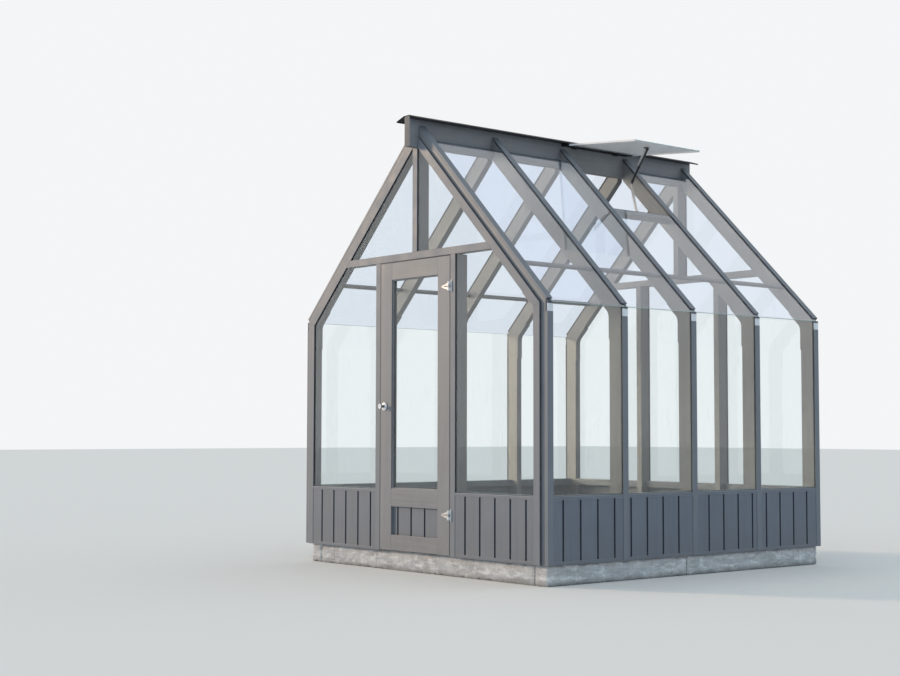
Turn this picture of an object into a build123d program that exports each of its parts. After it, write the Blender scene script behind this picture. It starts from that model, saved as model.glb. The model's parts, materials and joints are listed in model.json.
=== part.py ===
from build123d import *
import math
import os

# Timber greenhouse on a low plinth, in millimetres.
# X runs across the gable, Y runs from the door end to the rear, Z is up from the ground.
# The origin is on the ground under the middle of the outer box.
# Five portal frames carry a ridge beam. Glass lies outside the frames in rubber gaskets
# and flat metal cappings clamp it. One roof pane is a vent, held open by its opener.

# Frames
BAY_PITCH = 600.0
BAY_COUNT = 4
TIMBER_WIDTH = 44.0
TIMBER_DEPTH = 95.0
HALF_WIDTH = 1152.0
EAVES_HEIGHT = 1476.0
ROOF_PITCH = 45.0
KNEE_DOWN = 194.0
KNEE_UP = 170.0
KNEE_EXTRA = 6.0
KNEE_RADIUS = 60.0

# Plinth
PLINTH_HEIGHT = 120.0
PLINTH_WIDTH = 110.0
PLINTH_SIDE_INSET = 13.0
PLINTH_FRONT_INSET = 26.0
PLINTH_CHAMFER = 8.0

# Ridge
BEAM_WIDTH = 50.0
BEAM_DEPTH = 188.0
BEAM_ABOVE_APEX = 49.0
BEAM_FRONT_REACH = 63.0
BEAM_REAR_REACH = 34.0
CAP_END_REACH = 4.0
CAP_SHEET = 3.0
CAP_FLAT = 54.0
CAP_WING = 72.0
CAP_FALL = 24.0
CAP_LIP = 8.0

# Glazing layers outside the timber
CAPPING_THICKNESS = 4.0
CAPPING_LEG = 3.0
GASKET_THICKNESS = 12.0
GLASS_THICKNESS = 5.0
GLASS_BED = 4.0
GLASS_OVERLAP = 14.0
GASKET_INSET = 1.5
FIT_GAP = 0.3
BUTT_GAP = 0.5

# Gable walls
CORNER_CAPPING_WIDTH = 50.0
CORNER_CAPPING_SETBACK = 34.0
POST_WIDTH = 45.0
POST_DEPTH = 81.0
DOOR_POST_INNER = 343.0
TIE_BOTTOM = 1797.0
TIE_HEIGHT = 45.0

# Low boarded walls
SILL_TOP = 384.0
SILL_LIP = 25.0
SILL_FALL = 6.0
RAIL_THICKNESS = 45.0
FOOT_LIP = 18.0
BOARD_SETBACK = 2.0
SIDE_BOARD_COVER = 136.5
SIDE_BOARD_START = 135.0
GABLE_BOARD_COVER = 131.4
GABLE_BOARD_SHIFT = 19.5
GROOVE_WIDTH = 13.0
GROOVE_DEPTH = 7.0
BOARD_EDGE_GAP = 0.5

# Roof timber and glass
PURLIN_DISTANCE = 320.0
PURLIN_WIDTH = 22.0
PURLIN_DEPTH = 20.0
CROSSBAR_BELOW_BEAM = 637.0
CROSSBAR_THICKNESS = 45.0
ROOF_GLASS_OVERHANG = 22.0
ROOF_GLASS_BELOW_BEAM = 114.0
EAVES_CLIP_HEIGHT = 45.0
EAVES_CLIP_DROP = 20.0
EAVES_NOSE_HEIGHT = 10.0
EAVES_NOSE_REACH = 2.0

# Roof vent, held open
VENT_BAY = 2
VENT_HINGE_OUT = 8.0
VENT_HINGE_BELOW_TOP = 30.5
VENT_LENGTH = 665.0
VENT_DIP = 5.1
VENT_SIDE_LAP = 30.0
VENT_TRIM_WIDTH = 14.0
VENT_TRIM_THICKNESS = 9.0
VENT_BARREL_RADIUS = 6.0
VENT_RAIL_EDGE = 2.0
VENT_BRACKET_WIDTH = 44.0
VENT_BRACKET_DROP = 7.0
VENT_BRACKET_INSET = 90.0
OPENER_REACH = 485.0
OPENER_ELBOW_OUT = 339.0
OPENER_ELBOW_DROP = 261.5
OPENER_RADIUS = 7.5
OPENER_EYE_RADIUS = 9.0
OPENER_EYE_LENGTH = 12.0
OPENER_ROD_RADIUS = 6.5
OPENER_ROD_OFFSET = 17.0
OPENER_ROD_SHARE = 0.45
OPENER_PAD = 3.0
OPENER_PAD_LENGTH = 50.0
ARM_WIDTH = 20.0
ARM_NECK_WIDTH = 10.0
ARM_NECK_SHARE = 0.3
ARM_THICKNESS = 4.0
ARM_PIN_RADIUS = 4.0
ARM_FOOT_LENGTH = 30.0

# Door
DOOR_GAP = 5.0
DOOR_FOOT_GAP = 6.0
DOOR_THICKNESS = 44.0
DOOR_STILE = 112.0
DOOR_EDGE_BEVEL = 3.0
DOOR_EDGE_LAND = 1.0
DOOR_TOP_RAIL = 109.0
DOOR_MID_TOP = 387.0
DOOR_MID_HEIGHT = 111.0
DOOR_BOTTOM_RAIL = 96.0
DOOR_PANEL_THICKNESS = 16.0
DOOR_PANEL_SETBACK = 17.0
DOOR_GLASS_SETBACK = 18.0
DOOR_GROOVE = 10.0
DOOR_STOP_WIDTH = 12.0
DOOR_STOP_DEPTH = 14.0
HINGE_HEIGHT = 57.0
HINGE_LOW = 244.0
HINGE_HIGH = 1606.0
HINGE_PLATE = 3.0
HINGE_KNUCKLES = 3
HINGE_BARREL_RADIUS = 8.0
HINGE_PIN_RADIUS = 3.0
HINGE_STRAP_LENGTH = 72.0
HINGE_STRAP_HEIGHT = 46.0
HINGE_STRAP_TIP = 12.0
HINGE_SLOT_ROOT = 11.0
HINGE_SLOT_TIP = 3.0
HINGE_SLOT_MARGIN = 9.0
HINGE_JAMB_LENGTH = 18.0
HINGE_JAMB_FLARE = 10.0
KNUCKLE_GAP = 0.5
KNOB_HEIGHT = 895.0
KNOB_FROM_EDGE = 43.0
ROSE_RADIUS = 27.0
ROSE_THICKNESS = 6.0
ROSE_CHAMFER = 3.0
KNOB_RADIUS = 18.0
KNOB_FACE_RADIUS = 10.0
KNOB_NECK_RADIUS = 8.0
KNOB_NECK_END = 16.0
KNOB_FLARE = 8.0
KNOB_DOME = 8.0
KNOB_END = 41.0

# Places worked out from the sizes above
BASE = PLINTH_HEIGHT
LAYERS = CAPPING_THICKNESS + GASKET_THICKNESS
FRAME_LENGTH = BAY_COUNT * BAY_PITCH + TIMBER_WIDTH
GLAZED_LENGTH = FRAME_LENGTH + 2 * LAYERS
BEAM_LENGTH = GLAZED_LENGTH + BEAM_FRONT_REACH + BEAM_REAR_REACH
OUTER_LENGTH = BEAM_LENGTH + 2 * CAP_END_REACH
FRONT = -OUTER_LENGTH / 2 + CAP_END_REACH + BEAM_FRONT_REACH
REAR = FRONT + GLAZED_LENGTH
FIRST_FRAME = FRONT + LAYERS
OUTER_X = HALF_WIDTH + LAYERS
SLOPE = math.radians(ROOF_PITCH)
TAN_MITRE = math.tan(SLOPE / 2)
APEX = EAVES_HEIGHT + HALF_WIDTH * math.tan(SLOPE)
BEAM_TOP = APEX + BEAM_ABOVE_APEX
BEAM_BOTTOM = BEAM_TOP - BEAM_DEPTH
RAFTER_LENGTH = (HALF_WIDTH - BEAM_WIDTH / 2) / math.cos(SLOPE)
CROSSBAR_DISTANCE = RAFTER_LENGTH - CROSSBAR_BELOW_BEAM
DOOR_HALF = DOOR_POST_INNER - DOOR_GAP
DOOR_TOP = TIE_BOTTOM - DOOR_GAP
HINGE_X = DOOR_HALF + DOOR_GAP / 2
HINGE_Y = FRONT - HINGE_BARREL_RADIUS - KNUCKLE_GAP


def frame_y(number):
    """Front face of a frame, counted from 0 at the door end."""
    return FIRST_FRAME + number * BAY_PITCH


def block(x0, x1, y0, y1, z0, z1):
    """A square-edged block between two corners, with heights above the timber's base."""
    low = (min(x0, x1), min(y0, y1), min(z0, z1) + BASE)
    size = (abs(x1 - x0), abs(y1 - y0), abs(z1 - z0))
    return Pos(*low) * Box(*size, align=(Align.MIN, Align.MIN, Align.MIN))


def prism_y(outline, y0, y1):
    """An outline of (x, height) points, pulled along Y."""
    points = [(x, y0, z + BASE) for x, z in outline]
    return extrude(make_face(Polyline(*points, close=True)), amount=y1 - y0, dir=(0, 1, 0))


def prism_x(outline, x0, x1):
    """An outline of (y, height) points, pulled along X."""
    points = [(x0, y, z + BASE) for y, z in outline]
    return extrude(make_face(Polyline(*points, close=True)), amount=x1 - x0, dir=(1, 0, 0))


def on_slope(side, along, out):
    """A point of the roof: distance up the slope from the eaves corner, and outward offset."""
    x = HALF_WIDTH - along * math.cos(SLOPE) + out * math.sin(SLOPE)
    z = EAVES_HEIGHT + along * math.sin(SLOPE) + out * math.cos(SLOPE)
    return (side * x, z)


def slope_slab(side, along0, along1, out0, out1, y0, y1):
    """A slab lying on the roof slope."""
    corners = [on_slope(side, a, o) for a, o in
               ((along0, out0), (along1, out0), (along1, out1), (along0, out1))]
    return prism_y(corners, y0, y1)


def slope_at_x(x, out):
    """Distance up the slope at which a line at this offset reaches a given x."""
    return (HALF_WIDTH + out * math.sin(SLOPE) - x) / math.cos(SLOPE)


def layer_y(end, depth0, depth1):
    """The Y range of a layer of a gable wall, by depth behind its outer face."""
    if end == "front":
        return FRONT + depth0, FRONT + depth1
    return REAR - depth1, REAR - depth0


def save(name, solids):
    """Write one named piece, or a set of like pieces that don't touch."""
    shape = solids[0] if len(solids) == 1 else Compound(children=list(solids))
    export_step(shape, f"parts/{name}.step")


def bay_range(bay, lap=0.0):
    """The clear Y range between the timbers on both sides of a bay, with a lap onto both."""
    return frame_y(bay) + TIMBER_WIDTH - lap, frame_y(bay + 1) + lap


# Plinth

def plinth_sides():
    """Two long concrete kerbs, a little inside the timber's face and flush with it at the rear."""
    outer = HALF_WIDTH - PLINTH_SIDE_INSET
    y0, y1 = FIRST_FRAME + PLINTH_FRONT_INSET, FIRST_FRAME + FRAME_LENGTH
    kerbs = []
    for side in (-1, 1):
        kerb = block(side * outer, side * (outer - PLINTH_WIDTH), y0, y1, -PLINTH_HEIGHT, 0)
        top = kerb.faces().sort_by(Axis.Z)[-1]
        edge = top.edges().sort_by(Axis.X)[0 if side < 0 else -1]
        kerbs.append(chamfer(edge, PLINTH_CHAMFER))
    return kerbs


def plinth_ends():
    """Two short kerbs between the long ones."""
    inner = HALF_WIDTH - PLINTH_SIDE_INSET - PLINTH_WIDTH - FIT_GAP
    kerbs = []
    for end, inset in (("front", PLINTH_FRONT_INSET), ("rear", 0.0)):
        y0, y1 = layer_y(end, LAYERS + inset, LAYERS + inset + PLINTH_WIDTH)
        kerb = block(-inner, inner, y0, y1, -PLINTH_HEIGHT, 0)
        top = kerb.faces().sort_by(Axis.Z)[-1]
        edge = top.edges().sort_by(Axis.Y)[0 if end == "front" else -1]
        kerbs.append(chamfer(edge, PLINTH_CHAMFER))
    return kerbs


# Portal frames

def posts(side):
    """Five posts, set on edge, up to the knee joints."""
    inner = side * (HALF_WIDTH - TIMBER_DEPTH)
    return [block(side * HALF_WIDTH, inner, frame_y(i), frame_y(i) + TIMBER_WIDTH,
                  0, EAVES_HEIGHT - KNEE_DOWN) for i in range(BAY_COUNT + 1)]


def knees(side):
    """Five angled knees that join post and rafter, a little deeper than both."""
    depth = TIMBER_DEPTH + KNEE_EXTRA
    foot = EAVES_HEIGHT - KNEE_DOWN
    outline = [(side * HALF_WIDTH, foot),
               (side * HALF_WIDTH, EAVES_HEIGHT),
               on_slope(side, KNEE_UP, 0),
               on_slope(side, KNEE_UP, -depth),
               (side * (HALF_WIDTH - depth), EAVES_HEIGHT - depth * TAN_MITRE),
               (side * (HALF_WIDTH - depth), foot)]
    pieces = []
    for i in range(BAY_COUNT + 1):
        knee = prism_y(outline, frame_y(i), frame_y(i) + TIMBER_WIDTH)
        bend = Vector(side * (HALF_WIDTH - depth), frame_y(i), BASE + EAVES_HEIGHT - depth * TAN_MITRE)
        edge = min(knee.edges().filter_by(Axis.Y), key=lambda e: e.distance_to(bend))
        pieces.append(fillet(edge, KNEE_RADIUS))
    return pieces


def rafters(side):
    """Five rafters from the knees to the side of the ridge beam."""
    half = BEAM_WIDTH / 2
    outline = [on_slope(side, KNEE_UP, 0),
               on_slope(side, slope_at_x(half, 0), 0),
               on_slope(side, slope_at_x(half, -TIMBER_DEPTH), -TIMBER_DEPTH),
               on_slope(side, KNEE_UP, -TIMBER_DEPTH)]
    return [prism_y(outline, frame_y(i), frame_y(i) + TIMBER_WIDTH) for i in range(BAY_COUNT + 1)]


# Ridge

def ridge_beam():
    """Deep beam that the rafters butt against, reaching out past both gables."""
    return block(-BEAM_WIDTH / 2, BEAM_WIDTH / 2, FRONT - BEAM_FRONT_REACH, REAR + BEAM_REAR_REACH,
                 BEAM_BOTTOM, BEAM_TOP)


def ridge_cap():
    """Folded sheet: a flat on the beam, a sloping wing on each side and a turned-down lip."""
    half = CAP_FLAT / 2
    edge = half + CAP_WING
    lip = edge - CAP_SHEET
    top = BEAM_TOP + CAP_SHEET
    fall = CAP_FALL / CAP_WING
    sheet_upright = CAP_SHEET * math.hypot(1, fall)
    fold = half - (sheet_upright - CAP_SHEET) / fall
    outer = [(half, top), (edge, top - CAP_FALL), (edge, top - CAP_FALL - CAP_LIP)]
    inner = [(lip, top - CAP_FALL - CAP_LIP), (lip, top - (lip - half) * fall - sheet_upright),
             (fold, BEAM_TOP)]
    right = outer + inner
    left = [(-x, z) for x, z in reversed(right)]
    y0 = FRONT - BEAM_FRONT_REACH - CAP_END_REACH
    return prism_y(right + left, y0, REAR + BEAM_REAR_REACH + CAP_END_REACH)


# Roof timber

def purlins():
    """Slim bars between the rafters, flush with their outer face."""
    bars = []
    for side in (-1, 1):
        for bay in range(BAY_COUNT):
            y0, y1 = bay_range(bay)
            bars.append(slope_slab(side, PURLIN_DISTANCE, PURLIN_DISTANCE + PURLIN_WIDTH,
                                   -PURLIN_DEPTH, 0, y0, y1))
    return bars


def vent_crossbar():
    """Square bar under the lower edge of the vent."""
    y0, y1 = bay_range(VENT_BAY)
    top = CROSSBAR_DISTANCE + CROSSBAR_THICKNESS
    return slope_slab(1, CROSSBAR_DISTANCE, top, -CROSSBAR_THICKNESS, 0, y0, y1)


# Gable timber

def inner_rafter_x(height):
    """Where the rafters' inner faces are at a height."""
    along = (height - EAVES_HEIGHT + TIMBER_DEPTH * math.cos(SLOPE)) / math.sin(SLOPE)
    return on_slope(1, along, -TIMBER_DEPTH)[0]


def tie_beam(end):
    """Level beam between the rafters of the end frame, over the door."""
    y0, y1 = layer_y(end, LAYERS, LAYERS + TIMBER_WIDTH)
    low, high = inner_rafter_x(TIE_BOTTOM), inner_rafter_x(TIE_BOTTOM + TIE_HEIGHT)
    outline = [(-low, TIE_BOTTOM), (low, TIE_BOTTOM), (high, TIE_BOTTOM + TIE_HEIGHT),
               (-high, TIE_BOTTOM + TIE_HEIGHT)]
    return prism_y(outline, y0, y1)


def king_post(end):
    """Upright from the tie beam to the underside of the ridge beam."""
    y0, y1 = layer_y(end, LAYERS, LAYERS + POST_DEPTH)
    return block(-POST_WIDTH / 2, POST_WIDTH / 2, y0, y1, TIE_BOTTOM + TIE_HEIGHT, BEAM_BOTTOM)


def gable_posts(end):
    """The two uprights under the tie beam. At the front they carry the door."""
    y0, y1 = layer_y(end, LAYERS, LAYERS + POST_DEPTH)
    return [block(side * DOOR_POST_INNER, side * (DOOR_POST_INNER + POST_WIDTH), y0, y1, 0, TIE_BOTTOM)
            for side in (-1, 1)]


def door_stops():
    """Thin strips on the door posts and the tie beam that the closed door meets."""
    y0 = FRONT + DOOR_THICKNESS + DOOR_GAP
    y1 = y0 + DOOR_STOP_DEPTH
    edge = DOOR_POST_INNER
    strips = [block(side * edge, side * (edge - DOOR_STOP_WIDTH), y0, y1, 0, TIE_BOTTOM) for side in (-1, 1)]
    span = edge - DOOR_STOP_WIDTH - BUTT_GAP
    strips.append(block(-span, span, y0, y1, TIE_BOTTOM - DOOR_STOP_WIDTH, TIE_BOTTOM))
    return strips


# Low walls

def sill_sections():
    """Sections of a sill as (depth, height): the rail between the posts and its lip over the boards."""
    rail = [(LAYERS, SILL_TOP - RAIL_THICKNESS), (LAYERS, SILL_TOP),
            (LAYERS + RAIL_THICKNESS, SILL_TOP), (LAYERS + RAIL_THICKNESS, SILL_TOP - RAIL_THICKNESS)]
    lip = [(0, SILL_TOP - SILL_LIP), (0, SILL_TOP - SILL_FALL), (LAYERS, SILL_TOP),
           (LAYERS, SILL_TOP - SILL_LIP)]
    return rail, lip


def foot_sections():
    """Sections of a bottom rail and of the lip that the boards stand on, flush with their face."""
    rail = [(LAYERS, 0), (LAYERS, RAIL_THICKNESS), (LAYERS + RAIL_THICKNESS, RAIL_THICKNESS),
            (LAYERS + RAIL_THICKNESS, 0)]
    lip = [(BOARD_SETBACK, 0), (BOARD_SETBACK, FOOT_LIP), (LAYERS, FOOT_LIP), (LAYERS, 0)]
    return rail, lip


def side_rails(side, sections):
    """Rails of a long wall, one in each bay."""
    rails = []
    for bay in range(BAY_COUNT):
        y0, y1 = bay_range(bay)
        parts = [prism_y([(side * (OUTER_X - d), z) for d, z in section], y0, y1) for section in sections]
        rails.append(parts[0] + parts[1])
    return rails


def gable_bays(end):
    """The X ranges of a gable's low panels, between timbers and between cappings."""
    corner = HALF_WIDTH - TIMBER_DEPTH
    capping = HALF_WIDTH - CORNER_CAPPING_SETBACK - CORNER_CAPPING_WIDTH
    post = DOOR_POST_INNER + POST_WIDTH
    bays = [(-corner, -post, -capping, -post), (post, corner, post, capping)]
    if end == "rear":
        bays.append((-DOOR_POST_INNER, DOOR_POST_INNER, -DOOR_POST_INNER, DOOR_POST_INNER))
    return bays


def gable_rails(end, sections):
    """Rails of a gable. The rail reaches the posts and the lip reaches the cappings."""
    rails = []
    for x0, x1, lip0, lip1 in gable_bays(end):
        spans = ((x0, x1), (lip0, lip1))
        parts = []
        for section, (low, high) in zip(sections, spans):
            parts.append(prism_x([(layer_y(end, d, d)[0], z) for d, z in section], low, high))
        rails.append(parts[0] + parts[1])
    return rails


def boards_side(side):
    """Boarded panels of a long wall, with an upright groove at each board's edge."""
    outer = OUTER_X - BOARD_SETBACK
    low, high = FOOT_LIP, SILL_TOP - SILL_LIP
    panels = []
    for bay in range(BAY_COUNT):
        y0, y1 = bay_range(bay, -BOARD_EDGE_GAP)
        panel = block(side * HALF_WIDTH, side * outer, y0, y1, low, high)
        first = math.ceil((y0 + GROOVE_WIDTH - FRONT - SIDE_BOARD_START) / SIDE_BOARD_COVER)
        middle = FRONT + SIDE_BOARD_START + first * SIDE_BOARD_COVER
        while middle < y1 - GROOVE_WIDTH:
            panel -= block(side * (outer - GROOVE_DEPTH), side * outer, middle - GROOVE_WIDTH / 2,
                           middle + GROOVE_WIDTH / 2, low, high)
            middle += SIDE_BOARD_COVER
        panels.append(panel)
    return panels


def grooves_across(shape, x0, x1, y_face, inward, z0, z1):
    """Cut upright grooves at the board edges that fall between two X values."""
    count = math.ceil(HALF_WIDTH / GABLE_BOARD_COVER)
    for number in range(-count, count):
        x = (number + 0.5) * GABLE_BOARD_COVER + GABLE_BOARD_SHIFT
        if x0 + GROOVE_WIDTH < x < x1 - GROOVE_WIDTH:
            shape -= block(x - GROOVE_WIDTH / 2, x + GROOVE_WIDTH / 2, y_face, y_face + inward * GROOVE_DEPTH,
                           z0, z1)
    return shape


def boards_gable(end):
    """Boarded panels of a gable."""
    low, high = FOOT_LIP, SILL_TOP - SILL_LIP
    panels = []
    for _, _, x0, x1 in gable_bays(end):
        y0, y1 = layer_y(end, BOARD_SETBACK, LAYERS)
        left, right = x0 + BOARD_EDGE_GAP, x1 - BOARD_EDGE_GAP
        panel = block(left, right, y0, y1, low, high)
        face, inward = (y0, 1) if end == "front" else (y1, -1)
        panels.append(grooves_across(panel, left, right, face, inward, low, high))
    return panels


# Glass

def wall_panes(side, grow=0.0):
    """One tall pane a bay, from the sill to the eaves."""
    inner = HALF_WIDTH + GLASS_BED - grow
    outer = HALF_WIDTH + GLASS_BED + GLASS_THICKNESS + grow
    panes = []
    for bay in range(BAY_COUNT):
        y0, y1 = bay_range(bay, GLASS_OVERLAP + grow)
        panes.append(block(side * inner, side * outer, y0, y1, SILL_TOP + FIT_GAP - grow,
                           EAVES_HEIGHT - 2 * GLASS_THICKNESS + grow))
    return panes


def roof_panes(side, grow=0.0):
    """One pane a bay, from the eaves to a gap under the ridge cap, or to the vent's crossbar."""
    panes = []
    for bay in range(BAY_COUNT):
        y0, y1 = bay_range(bay, GLASS_OVERLAP + grow)
        top = RAFTER_LENGTH - ROOF_GLASS_BELOW_BEAM
        if side > 0 and bay == VENT_BAY:
            top = CROSSBAR_DISTANCE + CROSSBAR_THICKNESS / 2
        panes.append(slope_slab(side, -ROOF_GLASS_OVERHANG - grow, top + grow, GLASS_BED - grow,
                                GLASS_BED + GLASS_THICKNESS + grow, y0, y1))
    return panes


def gable_corner():
    """Outer corner of the gable's cappings at the eaves."""
    return (HALF_WIDTH - CORNER_CAPPING_SETBACK, EAVES_HEIGHT - CORNER_CAPPING_SETBACK * TAN_MITRE)


def capping_line_x(height, inset):
    """X of a line that runs up the gable's slope, inset from the rafter capping's outer edge."""
    corner_x, corner_z = gable_corner()
    return corner_x - (height - corner_z) / math.tan(SLOPE) - inset / math.sin(SLOPE)


def gable_panes(end, grow=0.0):
    """The gable's glass: two tall lights, two upper triangles and, at the rear, a middle light."""
    y0, y1 = layer_y(end, LAYERS - GLASS_BED - GLASS_THICKNESS - grow, LAYERS - GLASS_BED + grow)
    corner_x = gable_corner()[0]
    inset = CORNER_CAPPING_WIDTH - GLASS_OVERLAP - grow
    outer = corner_x - inset
    low = SILL_TOP + FIT_GAP - grow
    head = TIE_BOTTOM + GLASS_OVERLAP + grow
    inner = DOOR_POST_INNER + POST_WIDTH - GLASS_OVERLAP - grow
    knee = EAVES_HEIGHT - (HALF_WIDTH - outer) * TAN_MITRE
    light = [(inner, low), (outer, low), (outer, knee), (capping_line_x(head, inset), head), (inner, head)]
    foot = TIE_BOTTOM + TIE_HEIGHT - GLASS_OVERLAP - grow
    top = BEAM_BOTTOM - FIT_GAP + grow
    middle = POST_WIDTH / 2 - GLASS_OVERLAP - grow
    triangle = [(middle, foot), (capping_line_x(foot, inset), foot), (capping_line_x(top, inset), top),
                (middle, top)]
    panes = []
    for side in (-1, 1):
        for outline in (light, triangle):
            panes.append(prism_y([(side * x, z) for x, z in outline], y0, y1))
    if end == "rear":
        half = DOOR_POST_INNER + GLASS_OVERLAP + grow
        panes.append(block(-half, half, y0, y1, low, head))
    return panes


# Cappings and gaskets

def side_outline(side, depth0, depth1, foot, top):
    """Outline of a strip on a long wall's posts, by depth behind the outer face."""
    near, far = side * (OUTER_X - depth0), side * (OUTER_X - depth1)
    return [(near, foot), (near, top), (far, top), (far, foot)]


def roof_outline(side, out0, out1, inset):
    """Outline of a strip on the rafters, from the eaves to the ridge beam."""
    beam = BEAM_WIDTH / 2 + FIT_GAP + inset
    corners = ((inset, out0), (slope_at_x(beam, out0), out0), (slope_at_x(beam, out1), out1), (inset, out1))
    return [on_slope(side, along, out) for along, out in corners]


def cappings_on(face, leg):
    """A capping on each frame. Those on the end frames have a leg that closes the gasket's outer side."""
    pieces = []
    for number in range(BAY_COUNT + 1):
        y0 = frame_y(number)
        y1 = y0 + TIMBER_WIDTH
        capping = prism_y(face, y0, y1)
        if number == 0:
            capping += prism_y(leg, y0, y0 + CAPPING_LEG)
        if number == BAY_COUNT:
            capping += prism_y(leg, y1 - CAPPING_LEG, y1)
        pieces.append(capping)
    return pieces


def gaskets_on(outline):
    """A gasket on each frame, clear of the legs of the end cappings."""
    pieces = []
    for number in range(BAY_COUNT + 1):
        near = CAPPING_LEG + FIT_GAP if number == 0 else GASKET_INSET
        far = CAPPING_LEG + FIT_GAP if number == BAY_COUNT else GASKET_INSET
        pieces.append(prism_y(outline, frame_y(number) + near, frame_y(number) + TIMBER_WIDTH - far))
    return pieces


def gable_strips(end, depth0, depth1, inset):
    """Strips on a gable: corner posts, rafters, tie beam, king post and the two uprights."""
    y0, y1 = layer_y(end, depth0, depth1)
    corner_x, corner_z = gable_corner()
    width = CORNER_CAPPING_WIDTH
    gap = BUTT_GAP
    beam = BEAM_WIDTH / 2 + FIT_GAP + inset
    tie_low, tie_high = TIE_BOTTOM + inset, TIE_BOTTOM + TIE_HEIGHT - inset
    post = [(corner_x - inset, inset), (corner_x - inset, corner_z - gap),
            (corner_x - width + inset, corner_z - width * TAN_MITRE - gap), (corner_x - width + inset, inset)]

    def line(x, distance):
        return corner_z + (corner_x - x) * math.tan(SLOPE) - distance / math.cos(SLOPE)

    rafter = [(corner_x, corner_z + inset), (beam, line(beam, inset)), (beam, line(beam, width - inset)),
              (corner_x - width, corner_z - width * TAN_MITRE + inset)]
    shapes = []
    for side in (-1, 1):
        for outline in (post, rafter):
            shapes.append(prism_y([(side * x, z) for x, z in outline], y0, y1))
        shapes.append(block(side * (DOOR_POST_INNER + inset), side * (DOOR_POST_INNER + POST_WIDTH - inset),
                            y0, y1, inset, TIE_BOTTOM - gap))
    low, high = capping_line_x(tie_low, width) - gap, capping_line_x(tie_high, width) - gap
    shapes.append(prism_y([(-low, tie_low), (low, tie_low), (high, tie_high), (-high, tie_high)], y0, y1))
    half = POST_WIDTH / 2 - inset
    shapes.append(block(-half, half, y0, y1, TIE_BOTTOM + TIE_HEIGHT + gap, BEAM_BOTTOM - FIT_GAP))
    return shapes


def clip_heights():
    """Foot and top of the eaves clips."""
    top = EAVES_HEIGHT - EAVES_CLIP_DROP
    return top - EAVES_CLIP_HEIGHT, top


def side_cappings():
    """Flat metal strips that clamp the glass of both long walls."""
    top = clip_heights()[0] - BUTT_GAP
    pieces = []
    for side in (-1, 1):
        pieces += cappings_on(side_outline(side, 0, CAPPING_THICKNESS, 0, top),
                              side_outline(side, CAPPING_THICKNESS, LAYERS, 0, top))
    return pieces


def roof_cappings():
    """The same strips up both roof slopes."""
    pieces = []
    for side in (-1, 1):
        pieces += cappings_on(roof_outline(side, GASKET_THICKNESS, LAYERS, 0),
                              roof_outline(side, 0, GASKET_THICKNESS, 0))
    return pieces


def gable_cappings():
    """Mitred strips on both gables."""
    return gable_strips("front", 0, CAPPING_THICKNESS, 0) + gable_strips("rear", 0, CAPPING_THICKNESS, 0)


def cut_slots(strips, panes):
    """Cut the slots that the panes sit in."""
    result = []
    for strip in strips:
        box = strip.bounding_box()
        for pane in panes:
            other = pane.bounding_box()
            apart = (box.max.X < other.min.X or box.min.X > other.max.X or box.max.Y < other.min.Y
                     or box.min.Y > other.max.Y or box.max.Z < other.min.Z or box.min.Z > other.max.Z)
            if not apart:
                strip = strip - pane
        result.append(strip)
    return result


def side_gaskets():
    """Rubber between the long walls' posts and cappings, slotted for glass, with a nose over the clips."""
    clip_top = clip_heights()[1]
    strips = []
    for side in (-1, 1):
        face, back = side * (OUTER_X - CAPPING_THICKNESS), side * HALF_WIDTH
        tip = side * (OUTER_X + EAVES_NOSE_REACH)
        low, high = clip_top + FIT_GAP, clip_top + EAVES_NOSE_HEIGHT
        outline = [(back, GASKET_INSET), (face, GASKET_INSET), (face, low),
                   (tip, low), (tip, high), (back, high)]
        strips += cut_slots(gaskets_on(outline), wall_panes(side, FIT_GAP) + roof_panes(side, FIT_GAP))
    return strips


def roof_gaskets():
    """The same rubber on the rafters."""
    strips = []
    for side in (-1, 1):
        outline = roof_outline(side, 0, GASKET_THICKNESS, GASKET_INSET)
        strips += cut_slots(gaskets_on(outline), roof_panes(side, FIT_GAP))
    return strips


def gable_gaskets():
    """The same rubber on both gables."""
    strips = []
    for end in ("front", "rear"):
        strips += cut_slots(gable_strips(end, CAPPING_THICKNESS, LAYERS, GASKET_INSET),
                            gable_panes(end, FIT_GAP))
    return strips


def eaves_clips():
    """White plastic clips over the gasket, between each side capping and the gasket's nose."""
    foot, top = clip_heights()
    clips = []
    for side in (-1, 1):
        outline = side_outline(side, 0, CAPPING_THICKNESS, foot, top)
        for number in range(BAY_COUNT + 1):
            clips.append(prism_y(outline, frame_y(number), frame_y(number) + TIMBER_WIDTH))
    return clips


# Roof vent

def vent_place(along, up):
    """A point of the open vent, by distance from its hinge and height above its middle plane."""
    dip = math.radians(VENT_DIP)
    x0 = BEAM_WIDTH / 2 + VENT_HINGE_OUT
    z0 = BEAM_TOP - VENT_HINGE_BELOW_TOP
    return (x0 + along * math.cos(dip) + up * math.sin(dip), z0 - along * math.sin(dip) + up * math.cos(dip))


def vent_slab(along0, along1, up0, up1, y0, y1):
    """A slab lying in the open vent's plane."""
    corners = [vent_place(a, u) for a, u in ((along0, up0), (along1, up0), (along1, up1), (along0, up1))]
    return prism_y(corners, y0, y1)


def vent_y():
    """The vent's width. It laps over the cappings on both sides."""
    return bay_range(VENT_BAY, VENT_SIDE_LAP)


def vent_glass(grow=0.0):
    """The vent's pane, bare at its outer edge."""
    y0, y1 = vent_y()
    half = GLASS_THICKNESS / 2 + grow
    margin = VENT_TRIM_THICKNESS / 2 - grow
    return vent_slab(VENT_TRIM_WIDTH - grow, VENT_LENGTH + grow, -half, half, y0 + margin, y1 - margin)


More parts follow.
